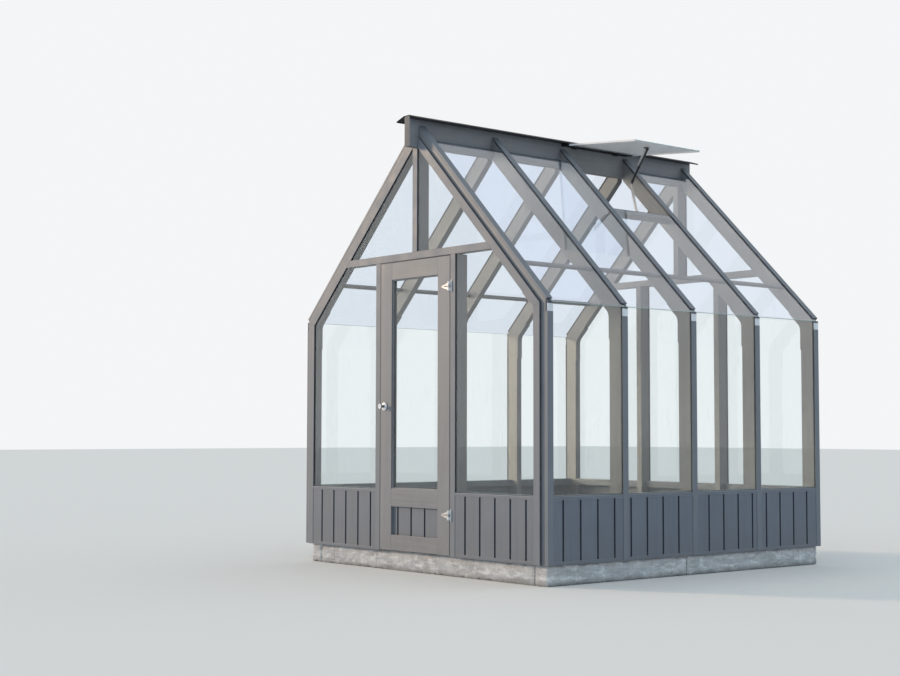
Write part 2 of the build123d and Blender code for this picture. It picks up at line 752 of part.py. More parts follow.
def vent_trim():
    """Channels along the pane's two sides and its hinge edge, with the barrel that turns in the rail."""
    y0, y1 = vent_y()
    half = VENT_TRIM_THICKNESS / 2
    frame = vent_slab(0, VENT_LENGTH, -half, half, y0, y1)
    frame -= vent_slab(2 * VENT_TRIM_WIDTH, 2 * VENT_LENGTH, -2 * half, 2 * half,
                       y0 + VENT_TRIM_WIDTH, y1 - VENT_TRIM_WIDTH)
    frame -= vent_glass(FIT_GAP)
    return frame + vent_barrel(VENT_BARREL_RADIUS)


def vent_barrel(radius):
    """A round bar on the vent's hinge line."""
    y0, y1 = vent_y()
    hinge_x, hinge_z = vent_place(0, 0)
    return Pos(hinge_x, (y0 + y1) / 2, hinge_z + BASE) * Rot(90, 0, 0) * Cylinder(radius, y1 - y0)


def vent_hinge():
    """Rail on the side of the ridge beam, with a round channel that the vent hangs in, and its brackets."""
    y0, y1 = vent_y()
    hinge_x, hinge_z = vent_place(0, 0)
    face = BEAM_WIDTH / 2
    reach = VENT_BARREL_RADIUS + VENT_RAIL_EDGE
    foot = hinge_z - reach
    rail = block(face, hinge_x, y0, y1, foot, hinge_z + reach)
    for start in (y0 + VENT_BRACKET_INSET, y1 - VENT_BRACKET_INSET - VENT_BRACKET_WIDTH):
        rail += block(face, hinge_x, start, start + VENT_BRACKET_WIDTH, foot - VENT_BRACKET_DROP, foot)
    return rail - vent_barrel(VENT_BARREL_RADIUS + FIT_GAP)


def opener_points():
    """The opener's three pivots: under the pane, at the elbow and at the crossbar."""
    hinge_x, hinge_z = vent_place(0, 0)
    head = vent_place(OPENER_REACH, -GLASS_THICKNESS / 2 - FIT_GAP - OPENER_PAD - OPENER_EYE_RADIUS)
    elbow = (hinge_x + OPENER_ELBOW_OUT, hinge_z - OPENER_ELBOW_DROP)
    foot = on_slope(1, CROSSBAR_DISTANCE + CROSSBAR_THICKNESS + ARM_WIDTH / 2, -CROSSBAR_THICKNESS / 3)
    return head, elbow, foot


def rod(start, end, y, radius):
    """A round bar between two (x, height) points at one Y."""
    path = Line((start[0], y, start[1] + BASE), (end[0], y, end[1] + BASE))
    return sweep(Plane(origin=path @ 0, z_dir=path % 0) * Circle(radius), path=path)


def cross_pin(point, y0, y1, radius):
    """A round bar along Y through an (x, height) point."""
    return Pos(point[0], (y0 + y1) / 2, point[1] + BASE) * Rot(90, 0, 0) * Cylinder(radius, y1 - y0)


def between(start, end, share):
    """A point on the way from one (x, height) point to another."""
    return (start[0] + (end[0] - start[0]) * share, start[1] + (end[1] - start[1]) * share)


def vent_middle():
    """The middle of the vent's width."""
    y0, y1 = vent_y()
    return (y0 + y1) / 2


def flat_bar(start, end, y, width):
    """A flat bar with round ends between two pivots."""
    run, rise = end[0] - start[0], end[1] - start[1]
    middle = between(start, end, 0.5)
    plane = Plane(origin=(middle[0], y, middle[1] + BASE), x_dir=(run, 0, rise), z_dir=(0, 1, 0))
    slot = plane * SlotCenterToCenter(math.hypot(run, rise), width)
    return extrude(slot, amount=ARM_THICKNESS / 2, both=True)


def vent_opener():
    """Black tube from pane to elbow, an eye at each end and a bright rod beside its upper part."""
    head, elbow, _ = opener_points()
    y = vent_middle()
    beside = y - OPENER_ROD_OFFSET
    near, far = y - OPENER_EYE_LENGTH / 2, y + OPENER_EYE_LENGTH / 2
    shoulder = between(elbow, head, 1 - OPENER_ROD_SHARE)
    body = rod(elbow, head, y, OPENER_RADIUS) + cross_pin(elbow, near, far, OPENER_EYE_RADIUS)
    body += rod(shoulder, head, beside, OPENER_ROD_RADIUS)
    body += cross_pin(shoulder, beside, y, OPENER_EYE_RADIUS)
    body += cross_pin(head, beside - OPENER_EYE_LENGTH / 2, far, OPENER_EYE_RADIUS)
    underside = -GLASS_THICKNESS / 2 - FIT_GAP
    body += vent_slab(OPENER_REACH - OPENER_PAD_LENGTH / 2, OPENER_REACH + OPENER_PAD_LENGTH / 2,
                      underside - 2 * OPENER_PAD, underside, beside, y)
    hole = cross_pin(elbow, near - OPENER_RADIUS, far + OPENER_RADIUS, ARM_PIN_RADIUS + FIT_GAP)
    return body - hole


def vent_arm():
    """Light flat bar from the elbow to the crossbar, narrow at the top, with its pin and foot plate."""
    _, elbow, foot = opener_points()
    side = vent_middle() - OPENER_RADIUS - FIT_GAP
    y = side - ARM_THICKNESS / 2
    neck = between(elbow, foot, ARM_NECK_SHARE)
    bar = flat_bar(elbow, neck, y, ARM_NECK_WIDTH) + flat_bar(neck, foot, y, ARM_WIDTH)
    far = vent_middle() + OPENER_RADIUS + ARM_THICKNESS
    pin = cross_pin(elbow, side - 2 * ARM_THICKNESS, far, ARM_PIN_RADIUS)
    top = CROSSBAR_DISTANCE + CROSSBAR_THICKNESS
    plate = slope_slab(1, top, top + ARM_THICKNESS, -CROSSBAR_THICKNESS, 0, side - ARM_FOOT_LENGTH, side)
    return bar + pin + plate


# Door

def door_glass(grow=0.0):
    """The tall pane of the door."""
    half = DOOR_HALF - DOOR_STILE + DOOR_GROOVE + grow
    y0 = FRONT + DOOR_GLASS_SETBACK - grow
    return block(-half, half, y0, y0 + GLASS_THICKNESS + 2 * grow, DOOR_MID_TOP - DOOR_GROOVE - grow,
                 DOOR_TOP - DOOR_TOP_RAIL + DOOR_GROOVE + grow)


def door_panel(grow=0.0):
    """The boarded lower panel of the door."""
    half = DOOR_HALF - DOOR_STILE + DOOR_GROOVE + grow
    y0 = FRONT + DOOR_PANEL_SETBACK - grow
    low = DOOR_FOOT_GAP + DOOR_BOTTOM_RAIL - DOOR_GROOVE - grow
    high = DOOR_MID_TOP - DOOR_MID_HEIGHT + DOOR_GROOVE + grow
    panel = block(-half, half, y0, y0 + DOOR_PANEL_THICKNESS + 2 * grow, low, high)
    if grow:
        return panel
    return grooves_across(panel, -half + DOOR_GROOVE, half - DOOR_GROOVE, y0, 1, low, high)


def door_stiles():
    """The two uprights of the leaf, grooved for glass and panel."""
    y0, y1 = FRONT, FRONT + DOOR_THICKNESS
    pieces = []
    for side in (-1, 1):
        stile = block(side * DOOR_HALF, side * (DOOR_HALF - DOOR_STILE), y0, y1, DOOR_FOOT_GAP, DOOR_TOP)
        if side < 0:
            rear = stile.faces().sort_by(Axis.Y)[-1]
            stile = chamfer(rear.edges().sort_by(Axis.X)[0], DOOR_THICKNESS - DOOR_EDGE_LAND, DOOR_EDGE_BEVEL)
        pieces.append(stile - door_glass(FIT_GAP) - door_panel(FIT_GAP))
    return pieces


def door_rails():
    """Top, middle and bottom rails of the leaf."""
    half = DOOR_HALF - DOOR_STILE
    spans = [(DOOR_TOP - DOOR_TOP_RAIL, DOOR_TOP), (DOOR_MID_TOP - DOOR_MID_HEIGHT, DOOR_MID_TOP),
             (DOOR_FOOT_GAP, DOOR_FOOT_GAP + DOOR_BOTTOM_RAIL)]
    rails = []
    for low, high in spans:
        rail = block(-half, half, FRONT, FRONT + DOOR_THICKNESS, low, high)
        rails.append(rail - door_glass(FIT_GAP) - door_panel(FIT_GAP))
    return rails


def door_knobs():
    """A round rose and a turned knob on each face of the free stile."""
    profile = [(0, 0), (ROSE_RADIUS, 0), (ROSE_RADIUS, ROSE_THICKNESS - ROSE_CHAMFER),
               (ROSE_RADIUS - ROSE_CHAMFER, ROSE_THICKNESS), (KNOB_NECK_RADIUS, ROSE_THICKNESS),
               (KNOB_NECK_RADIUS, KNOB_NECK_END), (KNOB_RADIUS, KNOB_NECK_END + KNOB_FLARE),
               (KNOB_RADIUS, KNOB_END - KNOB_DOME), (KNOB_FACE_RADIUS, KNOB_END), (0, KNOB_END)]
    outline = Polyline(*[(radius, 0, height) for radius, height in profile], close=True)
    body = revolve(make_face(outline), axis=Axis.Z)
    x = -(DOOR_HALF - KNOB_FROM_EDGE)
    z = KNOB_HEIGHT + BASE
    outside = Pos(x, FRONT, z) * Rot(90, 0, 0) * body
    inside = Pos(x, FRONT + DOOR_THICKNESS, z) * Rot(-90, 0, 0) * body
    return [outside, inside]


def hinge_knuckle(height, share0, share1, radius):
    """A length of hinge barrel, by share of the hinge's height."""
    low = height - HINGE_HEIGHT / 2 + HINGE_HEIGHT * share0
    high = height - HINGE_HEIGHT / 2 + HINGE_HEIGHT * share1
    barrel = Cylinder(radius, high - low, align=(Align.CENTER, Align.CENTER, Align.MIN))
    return Pos(HINGE_X, HINGE_Y, low + BASE) * barrel


def hinge_straps():
    """Leaf side of each hinge: a slotted, tapered strap with the middle knuckle."""
    start = HINGE_X - HINGE_BARREL_RADIUS / 2
    root = start - HINGE_BARREL_RADIUS
    tip = start - HINGE_STRAP_LENGTH
    middle = HINGE_HEIGHT / HINGE_KNUCKLES / 2 - KNUCKLE_GAP
    share = KNUCKLE_GAP / HINGE_HEIGHT
    share0, share1 = 1 / HINGE_KNUCKLES + share, 2 / HINGE_KNUCKLES - share
    half = HINGE_STRAP_HEIGHT / 2
    pieces = []
    for height in (HINGE_LOW, HINGE_HIGH):
        outline = [(start, height - middle), (start, height + middle), (root, height + middle),
                   (root, height + half), (tip, height + HINGE_STRAP_TIP / 2),
                   (tip, height - HINGE_STRAP_TIP / 2), (root, height - half), (root, height - middle)]
        strap = prism_y(outline, FRONT - HINGE_PLATE, FRONT)
        wide, narrow = HINGE_SLOT_ROOT / 2, HINGE_SLOT_TIP / 2
        near, far = root - HINGE_SLOT_MARGIN / 2, tip + HINGE_SLOT_MARGIN
        slot = [(near, height - wide), (near, height + wide), (far, height + narrow), (far, height - narrow)]
        strap -= prism_y(slot, FRONT - 2 * HINGE_PLATE, FRONT + HINGE_PLATE)
        knuckle = hinge_knuckle(height, share0, share1, HINGE_BARREL_RADIUS)
        hole = hinge_knuckle(height, 0, 1, HINGE_PIN_RADIUS + FIT_GAP)
        pieces.append(strap + knuckle - hole)
    return pieces


def hinge_plates():
    """Post side of each hinge: a plate, the outer knuckles and the pin."""
    slot = HINGE_HEIGHT / HINGE_KNUCKLES / 2
    half = HINGE_HEIGHT / 2
    edge = HINGE_X + HINGE_JAMB_LENGTH
    pieces = []
    for height in (HINGE_LOW, HINGE_HIGH):
        outline = [(HINGE_X, height - half), (edge, height - half - HINGE_JAMB_FLARE),
                   (edge, height + half + HINGE_JAMB_FLARE), (HINGE_X, height + half)]
        plate = prism_y(outline, FRONT - HINGE_PLATE, FRONT)
        plate -= block(HINGE_X - HINGE_BARREL_RADIUS, HINGE_X + HINGE_BARREL_RADIUS + KNUCKLE_GAP,
                       FRONT - 2 * HINGE_PLATE, FRONT + HINGE_PLATE, height - slot, height + slot)
        piece = plate + hinge_knuckle(height, 0, 1 / HINGE_KNUCKLES, HINGE_BARREL_RADIUS)
        piece += hinge_knuckle(height, 2 / HINGE_KNUCKLES, 1, HINGE_BARREL_RADIUS)
        piece += hinge_knuckle(height, 0, 1, HINGE_PIN_RADIUS)
        pieces.append(piece)
    return pieces


os.makedirs("parts", exist_ok=True)

save("plinth", plinth_sides() + plinth_ends())
for name, side in (("left", -1), ("right", 1)):
    save(f"{name}_posts", posts(side))
    save(f"{name}_rafters", rafters(side))
    save(f"{name}_boards", boards_side(side))
    save(f"{name}_wall_glass", wall_panes(side))
    save(f"{name}_roof_glass", roof_panes(side))
for end in ("front", "rear"):
    save(f"{end}_boards", boards_gable(end))
    save(f"{end}_glass", gable_panes(end))
save("knees", knees(-1) + knees(1))
save("tie_beams", [tie_beam("front"), tie_beam("rear")])
save("king_posts", [king_post("front"), king_post("rear")])
save("door_posts", gable_posts("front"))
save("rear_posts", gable_posts("rear"))
save("door_stops", door_stops())
for name, sections in (("sill_rails", sill_sections()), ("foot_rails", foot_sections())):
    save(name, side_rails(-1, sections) + side_rails(1, sections)
         + gable_rails("front", sections) + gable_rails("rear", sections))
save("ridge_beam", [ridge_beam()])
save("ridge_cap", [ridge_cap()])
save("purlins", purlins())
save("vent_crossbar", [vent_crossbar()])
save("side_cappings", side_cappings())
save("roof_cappings", roof_cappings())
save("gable_cappings", gable_cappings())
save("wall_gaskets", side_gaskets() + gable_gaskets())
save("roof_gaskets", roof_gaskets())
save("eaves_clips", eaves_clips())
save("vent_glass", [vent_glass()])
save("vent_trim", [vent_trim()])
save("vent_hinge", [vent_hinge()])
save("vent_opener", [vent_opener()])
save("vent_arm", [vent_arm()])
save("door_stiles", door_stiles())
save("door_rails", door_rails())
save("door_panel", [door_panel()])
save("door_glass", [door_glass()])
save("door_knobs", door_knobs())
save("hinge_straps", hinge_straps())
save("hinge_plates", hinge_plates())
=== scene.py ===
import json
import math
import bmesh
import bpy
from mathutils import Matrix, Vector, noise

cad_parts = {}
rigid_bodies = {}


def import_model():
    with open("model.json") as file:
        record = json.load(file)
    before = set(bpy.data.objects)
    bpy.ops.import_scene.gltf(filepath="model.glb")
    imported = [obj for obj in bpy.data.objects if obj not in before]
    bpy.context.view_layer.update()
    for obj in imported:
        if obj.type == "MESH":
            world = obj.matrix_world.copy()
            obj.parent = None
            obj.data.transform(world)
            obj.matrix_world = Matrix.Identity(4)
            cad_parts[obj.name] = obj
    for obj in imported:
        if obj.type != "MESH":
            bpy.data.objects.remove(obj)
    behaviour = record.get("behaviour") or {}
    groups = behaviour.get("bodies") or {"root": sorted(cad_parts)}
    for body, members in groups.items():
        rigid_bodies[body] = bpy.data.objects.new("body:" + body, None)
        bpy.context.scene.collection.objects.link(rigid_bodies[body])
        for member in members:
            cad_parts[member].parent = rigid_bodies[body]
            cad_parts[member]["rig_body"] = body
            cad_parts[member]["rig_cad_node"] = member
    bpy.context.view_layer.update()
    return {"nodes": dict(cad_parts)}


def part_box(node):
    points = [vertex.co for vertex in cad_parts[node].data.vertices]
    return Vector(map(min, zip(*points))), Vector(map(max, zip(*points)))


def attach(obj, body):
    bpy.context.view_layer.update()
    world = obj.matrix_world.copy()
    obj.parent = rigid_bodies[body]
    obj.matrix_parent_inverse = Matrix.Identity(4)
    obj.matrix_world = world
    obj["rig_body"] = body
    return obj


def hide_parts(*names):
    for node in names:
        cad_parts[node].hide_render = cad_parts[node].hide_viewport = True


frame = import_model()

NODES = frame["nodes"]

# Camera, placed as the photograph was taken
CAMERA_PLACE = (7.4523, -7.1627, 0.8586)
CAMERA_AZIMUTH = math.radians(50.13)
CAMERA_PITCH = math.radians(3.44)
CAMERA_ROLL = math.radians(0.11)
FILM_WIDTH = 36.0
LENS = 62.318
SEES_TO = 400.0

# Light
SUN_STRENGTH = 1.78
SUN_ANGLE = math.radians(7.0)
SUN_FROM = (-0.85, -0.50, 0.24)
SUN_COLOUR = (1.0, 0.75, 0.53)
SKY_COLOUR = (0.70, 0.85, 1.0)
SKY_STRENGTH = 0.76
PALE = (0.905, 0.915, 0.925)
FLOOR_COLOUR = (0.74, 0.75, 0.77)
FLOOR_SEEN = (0.95, 0.89, 0.81)
FLOOR_SIZE = 120.0

# Paint and other finishes, as linear colours
PAINT = (0.220, 0.226, 0.234)
PAINT_LIGHT = (0.262, 0.267, 0.273)
PAINT_DARK = (0.172, 0.179, 0.189)
# Lighter paint for the softened edges: wear, and a painted highlight along them
PAINT_WORN_HIGHLIT = (0.312, 0.314, 0.316)
# The ridge beam's sawn ends: darker paint as painted shade
END_SHADE_PAINT = (0.132, 0.140, 0.150)
END_SHADE_PAINT_LIGHT = (0.165, 0.173, 0.184)
END_SHADE_PAINT_DARK = (0.100, 0.107, 0.116)
BOARD_PAINT = (0.152, 0.174, 0.204)
BOARD_LIGHT = (0.181, 0.204, 0.236)
BOARD_DARK = (0.122, 0.142, 0.169)
# Dark paint for the board grooves and the seam round the door leaf: painted shade, with some dirt
GROOVE_SHADE_PAINT = (0.056, 0.066, 0.084)
GROOVE_SHADE_LIGHT = (0.072, 0.083, 0.103)
GROOVE_SHADE_DARK = (0.042, 0.050, 0.066)
DUST = (0.33, 0.31, 0.28)
EARTH = (0.20, 0.17, 0.13)
CAPPING = (0.170, 0.187, 0.208)
CAPPING_DUST = (0.214, 0.229, 0.248)
ANTHRACITE = (0.014, 0.015, 0.018)
ANTHRACITE_DUST = (0.038, 0.038, 0.040)
RUBBER = (0.052, 0.054, 0.067)
RUBBER_BLOOM = (0.105, 0.106, 0.126)
GLASS = (0.945, 0.978, 0.982)
GLASS_DUST = (0.86, 0.90, 0.89)
ROOF_GLASS = (0.86, 0.915, 1.0)
ROOF_GLASS_DUST = (0.79, 0.85, 0.93)
GLASS_SHADOW = (0.70, 0.77, 0.80)
ROOF_GLASS_SHADOW = (0.46, 0.52, 0.57)
GLASS_EDGE = (0.50, 0.66, 0.63)
VENT_SHEET = (0.87, 0.94, 1.0)
VENT_SHEET_DUST = (0.79, 0.87, 0.95)
WHITE = (0.88, 0.89, 0.90)
BRIGHT = (0.44, 0.46, 0.49)
ZINC = (0.80, 0.80, 0.79)
# Dark steel for the knob's neck and rims, as painted shade
DARK_STEEL_SHADE = (0.060, 0.060, 0.066)
BLACK = (0.020, 0.020, 0.022)
CONCRETE = (0.60, 0.585, 0.55)
CONCRETE_DARK = (0.29, 0.285, 0.27)
CONCRETE_LIGHT = (0.84, 0.825, 0.79)
CONCRETE_BLUE = (0.46, 0.49, 0.52)
CONCRETE_ROSE = (0.66, 0.56, 0.51)
CONCRETE_DAMP = (0.19, 0.19, 0.175)

# Sizes in metres, repeated from the solids
FRONT = -1.2235
REAR = 1.2525
BASE = 0.120
HALF_WIDTH = 1.152
FIRST_FRAME = -1.2075
BAY_PITCH = 0.600
BAY_COUNT = 4
TIMBER_WIDTH = 0.044
BEAM_TOP = 2.797
KERB_WIDTH = 0.110
KERB_CHAMFER = 0.008
CORNER_INNER = 1.068
POST_INNER = 0.343
POST_OUTER = 0.388
BOARD_THICKNESS = 0.014
BOARD_EDGE_GAP = 0.0005
BOARD_LOW = BASE + 0.018
BOARD_HIGH = BASE + 0.359
FRONT_BOARDS_BACK = FIRST_FRAME
REAR_BOARDS_BACK = REAR - 0.016
GROOVE_WIDTH = 0.013
GROOVE_DEPTH = 0.007
SIDE_BOARD_START = FRONT + 0.135
SIDE_BOARD_COVER = 0.1365
GABLE_BOARD_COVER = 0.1314
GABLE_BOARD_START = 0.0195 + GABLE_BOARD_COVER / 2
DOOR_BACK = FRONT + 0.044
DOOR_PANE_HALF = 0.226
DOOR_PANE_LOW = BASE + 0.387
DOOR_PANE_HIGH = BASE + 1.683
DOOR_GLASS_FACE = FRONT + 0.018
DOOR_GLASS_BACK = FRONT + 0.023
DOOR_PANEL_LOW = BASE + 0.102
DOOR_PANEL_HIGH = BASE + 0.276
DOOR_PANEL_FACE = FRONT + 0.017
DOOR_PANEL_TONGUE = 0.009
KNOB_PLACE = (-0.295, 1.015)
HINGE_LINE = (0.3405, -1.232)
HINGE_HEIGHTS = (BASE + 0.244, BASE + 1.606)
HINGE_HALF = 0.0285
HINGE_FACE = FRONT - 0.003
VENT_HINGE = (0.033, 2.7665)
VENT_DIP = math.radians(5.1)
VENT_MIDDLE = 0.3145
OPENER_HEAD = (0.51476, 2.70864)
OPENER_ELBOW = (0.372, 2.505)
OPENER_FOOT = (0.42593, 2.30086)
OPENER_PAD_RISE = 0.0085

# Sizes in metres that only the scene has
CLOSE = 0.0005
SLIM_EDGE = 0.0012
FRAME_EDGE = 0.0016
SILL_EDGE = 0.0020
HANDLED_EDGE = 0.0022
FOLDED_EDGE = 0.0009
MOULDED_EDGE = 0.0011
PANE_EDGE = 0.0006
VENT_EDGE = 0.0008
ARM_EDGE = 0.0005
HINGE_EDGE = 0.0004
# Lowest edge of the black band on the ridge beam's sides, painted as the ridge cap's shadow
CAP_SHADOW_LOW = BEAM_TOP - 0.020
LEAF_SIDE = 0.335
LEAF_TOP = BASE + 1.781
LEAF_FOOT = BASE + 0.008
SEAM_REACH = 0.003
BOARD_ARRIS = 0.0015
KERB_GAP = 0.0015
KERB_BUTT = 0.0003
KERB_JOINT = -0.03
KERB_GRID = 0.0075
KERB_WORN = 0.022
KERB_WAVE_DEPTH = 0.0016
KERB_GRAIN_DEPTH = 0.0011
KERB_ARRIS_DEPTH = 0.0012
KERB_CHIP_DEPTH = 0.016
CRACK_X = -0.88
CRACK_WANDER = 0.05
CRACK_SIDES = (0.0008, 0.0026)
DAMP_FOOT = (0.025, 0.065)
ROSE_BAND = (0.070, 0.105)
SPLASH_HEIGHT = 0.22
BEAD_WIDTH = 0.006
BEAD_DEPTH = 0.010
BEAD_ROUNDING = 0.0035
BEAD_GAP = 0.0004
SEAL_GAP = 0.0004
SEAL_PROUD = 0.0008
SEAL_DEPTH = 0.012
SEAL_LAP = 0.0018
SEAL_RISE = 0.0026
SEAL_END = 0.004
SEAL_ROUNDING = 0.0010
KNOB_NECK = 0.0100
STRAP_NECK = 0.0125
SCREW_RADIUS = 0.0034
SCREW_RECESS = 0.0007
STRAP_SCREWS = ((-0.019, 0.0098), (-0.019, -0.0098), (-0.070, 0.0))
PLATE_SCREWS = ((0.0135, -0.031), (0.0135, 0.031))
PIN_SUNK = 0.0005
# Where the vent channels' painted shade under the ridge cap ends
CHANNEL_SHADE_END = VENT_HINGE[0] + 0.066
CHANNEL_FLANGE = 0.003
CHANNEL_REACH = 0.003
ROD_ASIDE = 0.017
ARM_NEAR_FACE = VENT_MIDDLE - 0.0078 - 0.008
ARM_FAR_FACE = VENT_MIDDLE + 0.0115
ARM_FOOT_FACE = ARM_NEAR_FACE + 0.0038

# Shares and noise scales of the shapes. A face looks one way if its normal has more than FACING of it
FACING = 0.9
STRAP_SLIMMING = 0.68
SCREW_RIM = 0.46
BRIDGE_SHARE = 0.55
KERB_WAVES = 9.0
KERB_GRAINS = 48.0
KERB_CHIPS = 30.0
CHIP_SHIFT = Vector((7.0, 3.0, 1.0))
CHIP_LEVEL = 0.05

# Turned pieces, as stations of radius and height
KNOB_PROFILE = (
    (0.0078, 0.0060), (0.0078, 0.0235), (0.0088, 0.0258), (0.0118, 0.0280), (0.0146, 0.0304),
    (0.0164, 0.0330), (0.0172, 0.0356), (0.0173, 0.0378), (0.0167, 0.0395), (0.0154, 0.0405),
    (0.0130, 0.0410), (0.0044, 0.0410), (0.0038, 0.0406), (0.0016, 0.0405))
ROSE_PROFILE = (
    (0.0262, 0.0000), (0.0270, 0.0006), (0.0270, 0.0036), (0.0264, 0.0050), (0.0250, 0.0058),
    (0.0228, 0.0061), (0.0120, 0.0063), (0.0112, 0.0068), (0.0090, 0.0070), (0.0080, 0.0064))
SCREW_PROFILE = ((SCREW_RADIUS, -0.0002), (SCREW_RADIUS, 0.0003), (SCREW_RADIUS * 0.86, 0.0009))
PIN_PROFILE = ((0.0058, 0.0), (0.0060, 0.0008), (0.0056, 0.0022), (0.0040, 0.0034), (0.0012, 0.0038))
EYE_PROFILE = ((0.0060, -0.0060), (0.0086, -0.0054), (0.0090, -0.0046), (0.0090, 0.0046),
               (0.0086, 0.0054), (0.0060, 0.0060))
BRIDGE_PROFILE = ((0.0070, 0.0), (0.0076, 0.001), (0.0076, 0.0165), (0.0070, 0.0175))
DOME_PROFILE = ((0.0050, 0.0), (0.0056, 0.0006), (0.0050, 0.0020), (0.0030, 0.0030), (0.0010, 0.0033))

# A quarter turn, and what a direction along the roof's slope has of X and of Z
QUARTER = math.pi / 2
SLOPE = math.sqrt(0.5)


def colour4(colour):
    """A linear colour with its alpha."""
    return (colour[0], colour[1], colour[2], 1.0)


# Node groups for the finishes

def new_group(name, inputs, outputs):
    """An empty shader node group with named inputs and outputs."""
    group = bpy.data.node_groups.new(name, "ShaderNodeTree")
    for label, kind, value in inputs:
        socket = group.interface.new_socket(name=label, in_out="INPUT", socket_type=kind)
        if value is not None:
            socket.default_value = value
    for label, kind in outputs:
        group.interface.new_socket(name=label, in_out="OUTPUT", socket_type=kind)
    enter = group.nodes.new("NodeGroupInput")
    leave = group.nodes.new("NodeGroupOutput")
    return group, enter, leave


def cloud(tree, vector, scale, detail, rough):
    """A noise texture on a vector."""
    texture = tree.nodes.new("ShaderNodeTexNoise")
    texture.inputs["Scale"].default_value = scale
    texture.inputs["Detail"].default_value = detail
    texture.inputs["Roughness"].default_value = rough
    tree.links.new(vector, texture.inputs["Vector"])
    return texture.outputs["Fac"]


def cells(tree, vector, scale):
    """Distance to the middle of each cell in a cell pattern."""
    texture = tree.nodes.new("ShaderNodeTexVoronoi")
    texture.inputs["Scale"].default_value = scale
    tree.links.new(vector, texture.inputs["Vector"])
    return texture.outputs["Distance"]


def stretched(tree, vector, factors):
    """A vector with each axis multiplied."""
    node = tree.nodes.new("ShaderNodeVectorMath")
    node.operation = "MULTIPLY"
    node.inputs[1].default_value = factors
    tree.links.new(vector, node.inputs[0])
    return node.outputs["Vector"]


def remapped(tree, value, low, high, to_low=0.0, to_high=1.0):
    """A value mapped to a new range and clamped."""
    node = tree.nodes.new("ShaderNodeMapRange")
    node.clamp = True
    node.inputs["From Min"].default_value = low
    node.inputs["From Max"].default_value = high
    node.inputs["To Min"].default_value = to_low
    node.inputs["To Max"].default_value = to_high
    tree.links.new(value, node.inputs["Value"])
    return node.outputs["Result"]


def maths(tree, operation, first, second=0.0):
    """A maths node. Each side is a socket or a number."""
    node = tree.nodes.new("ShaderNodeMath")
    node.operation = operation
    for place, side in enumerate((first, second)):
        if isinstance(side, (int, float)):
            node.inputs[place].default_value = side
        else:
            tree.links.new(side, node.inputs[place])
    return node.outputs["Value"]


def times(tree, first, second):
    """One socket or number times another."""
    return maths(tree, "MULTIPLY", first, second)


def patches(tree, vector, factors, scale, detail, rough, low, high, most=1.0):
    """A mask of soft patches: noise on a stretched vector, from 0 at a low level to the most at a high."""
    texture = cloud(tree, stretched(tree, vector, factors), scale, detail, rough)
    return remapped(tree, texture, low, high, 0.0, most)


def mixed(tree, share, first, second):
    """Two colours mixed by a share. Each is a socket or a colour."""
    node = tree.nodes.new("ShaderNodeMix")
    node.data_type = "RGBA"
    tree.links.new(share, node.inputs["Factor"])
    for label, side in (("A", first), ("B", second)):
        socket = [s for s in node.inputs if s.name == label and s.type == "RGBA"][0]
        if isinstance(side, tuple):
            socket.default_value = colour4(side)
        else:
            tree.links.new(side, socket)
    return [s for s in node.outputs if s.type == "RGBA"][0]


def layered(tree, colour, *layers):
    """A colour with others laid over it, each by its share."""
    for share, over in layers:
        colour = mixed(tree, share, colour, over)
    return colour


def split_axes(tree, vector):
    """The X, Y and Z of a vector."""
    node = tree.nodes.new("ShaderNodeSeparateXYZ")
    tree.links.new(vector, node.inputs[0])
    return node.outputs["X"], node.outputs["Y"], node.outputs["Z"]


def grain_group():
    """Brush marks and wood grain that show through paint. The vector runs along X."""
    group, enter, leave = new_group(
        "timber_grain", [("Vector", "NodeSocketVector", None)],
        [("Fibre", "NodeSocketFloat"), ("Tone", "NodeSocketFloat"), ("Height", "NodeSocketFloat")])
    vector = enter.outputs["Vector"]
    fibre = cloud(group, stretched(group, vector, (5.0, 190.0, 190.0)), 1.0, 5.0, 0.62)
    brush = cloud(group, stretched(group, vector, (2.2, 42.0, 42.0)), 1.0, 4.0, 0.55)
    patch = cloud(group, vector, 4.3, 5.0, 0.6)
    tone = maths(group, "ADD", times(group, brush, 0.5), times(group, patch, 0.5))
    height = maths(group, "ADD", times(group, fibre, 0.55), times(group, brush, 0.45))
    group.links.new(fibre, leave.inputs["Fibre"])
    group.links.new(remapped(group, tone, 0.34, 0.66), leave.inputs["Tone"])
    group.links.new(height, leave.inputs["Height"])
    return group


def splash_group():
    """A mask of splashed earth that fades out above the ground."""
    group, enter, leave = new_group(
        "ground_splash", [("Vector", "NodeSocketVector", None)], [("Mask", "NodeSocketFloat")])
    vector = enter.outputs["Vector"]
    height = remapped(group, split_axes(group, vector)[2], BASE, BASE + SPLASH_HEIGHT, 1.0, 0.0)
    specks = remapped(group, cloud(group, vector, 46.0, 7.0, 0.68), 0.44, 0.70)
    group.links.new(times(group, height, specks), leave.inputs["Mask"])
    return group


def weather_group():
    """Rain streaks that run down, and fine specks of dust."""
    group, enter, leave = new_group(
        "weather", [("Vector", "NodeSocketVector", None)],
        [("Streaks", "NodeSocketFloat"), ("Specks", "NodeSocketFloat")])
    vector = enter.outputs["Vector"]
    streaks = patches(group, vector, (26.0, 26.0, 1.6), 1.0, 5.0, 0.6, 0.46, 0.74)
    specks = remapped(group, cloud(group, vector, 150.0, 4.0, 0.7), 0.50, 0.72)
    dusty = remapped(group, cloud(group, vector, 9.0, 4.0, 0.6), 0.40, 0.62, 0.15, 1.0)
    group.links.new(streaks, leave.inputs["Streaks"])
    group.links.new(times(group, specks, dusty), leave.inputs["Specks"])
    return group


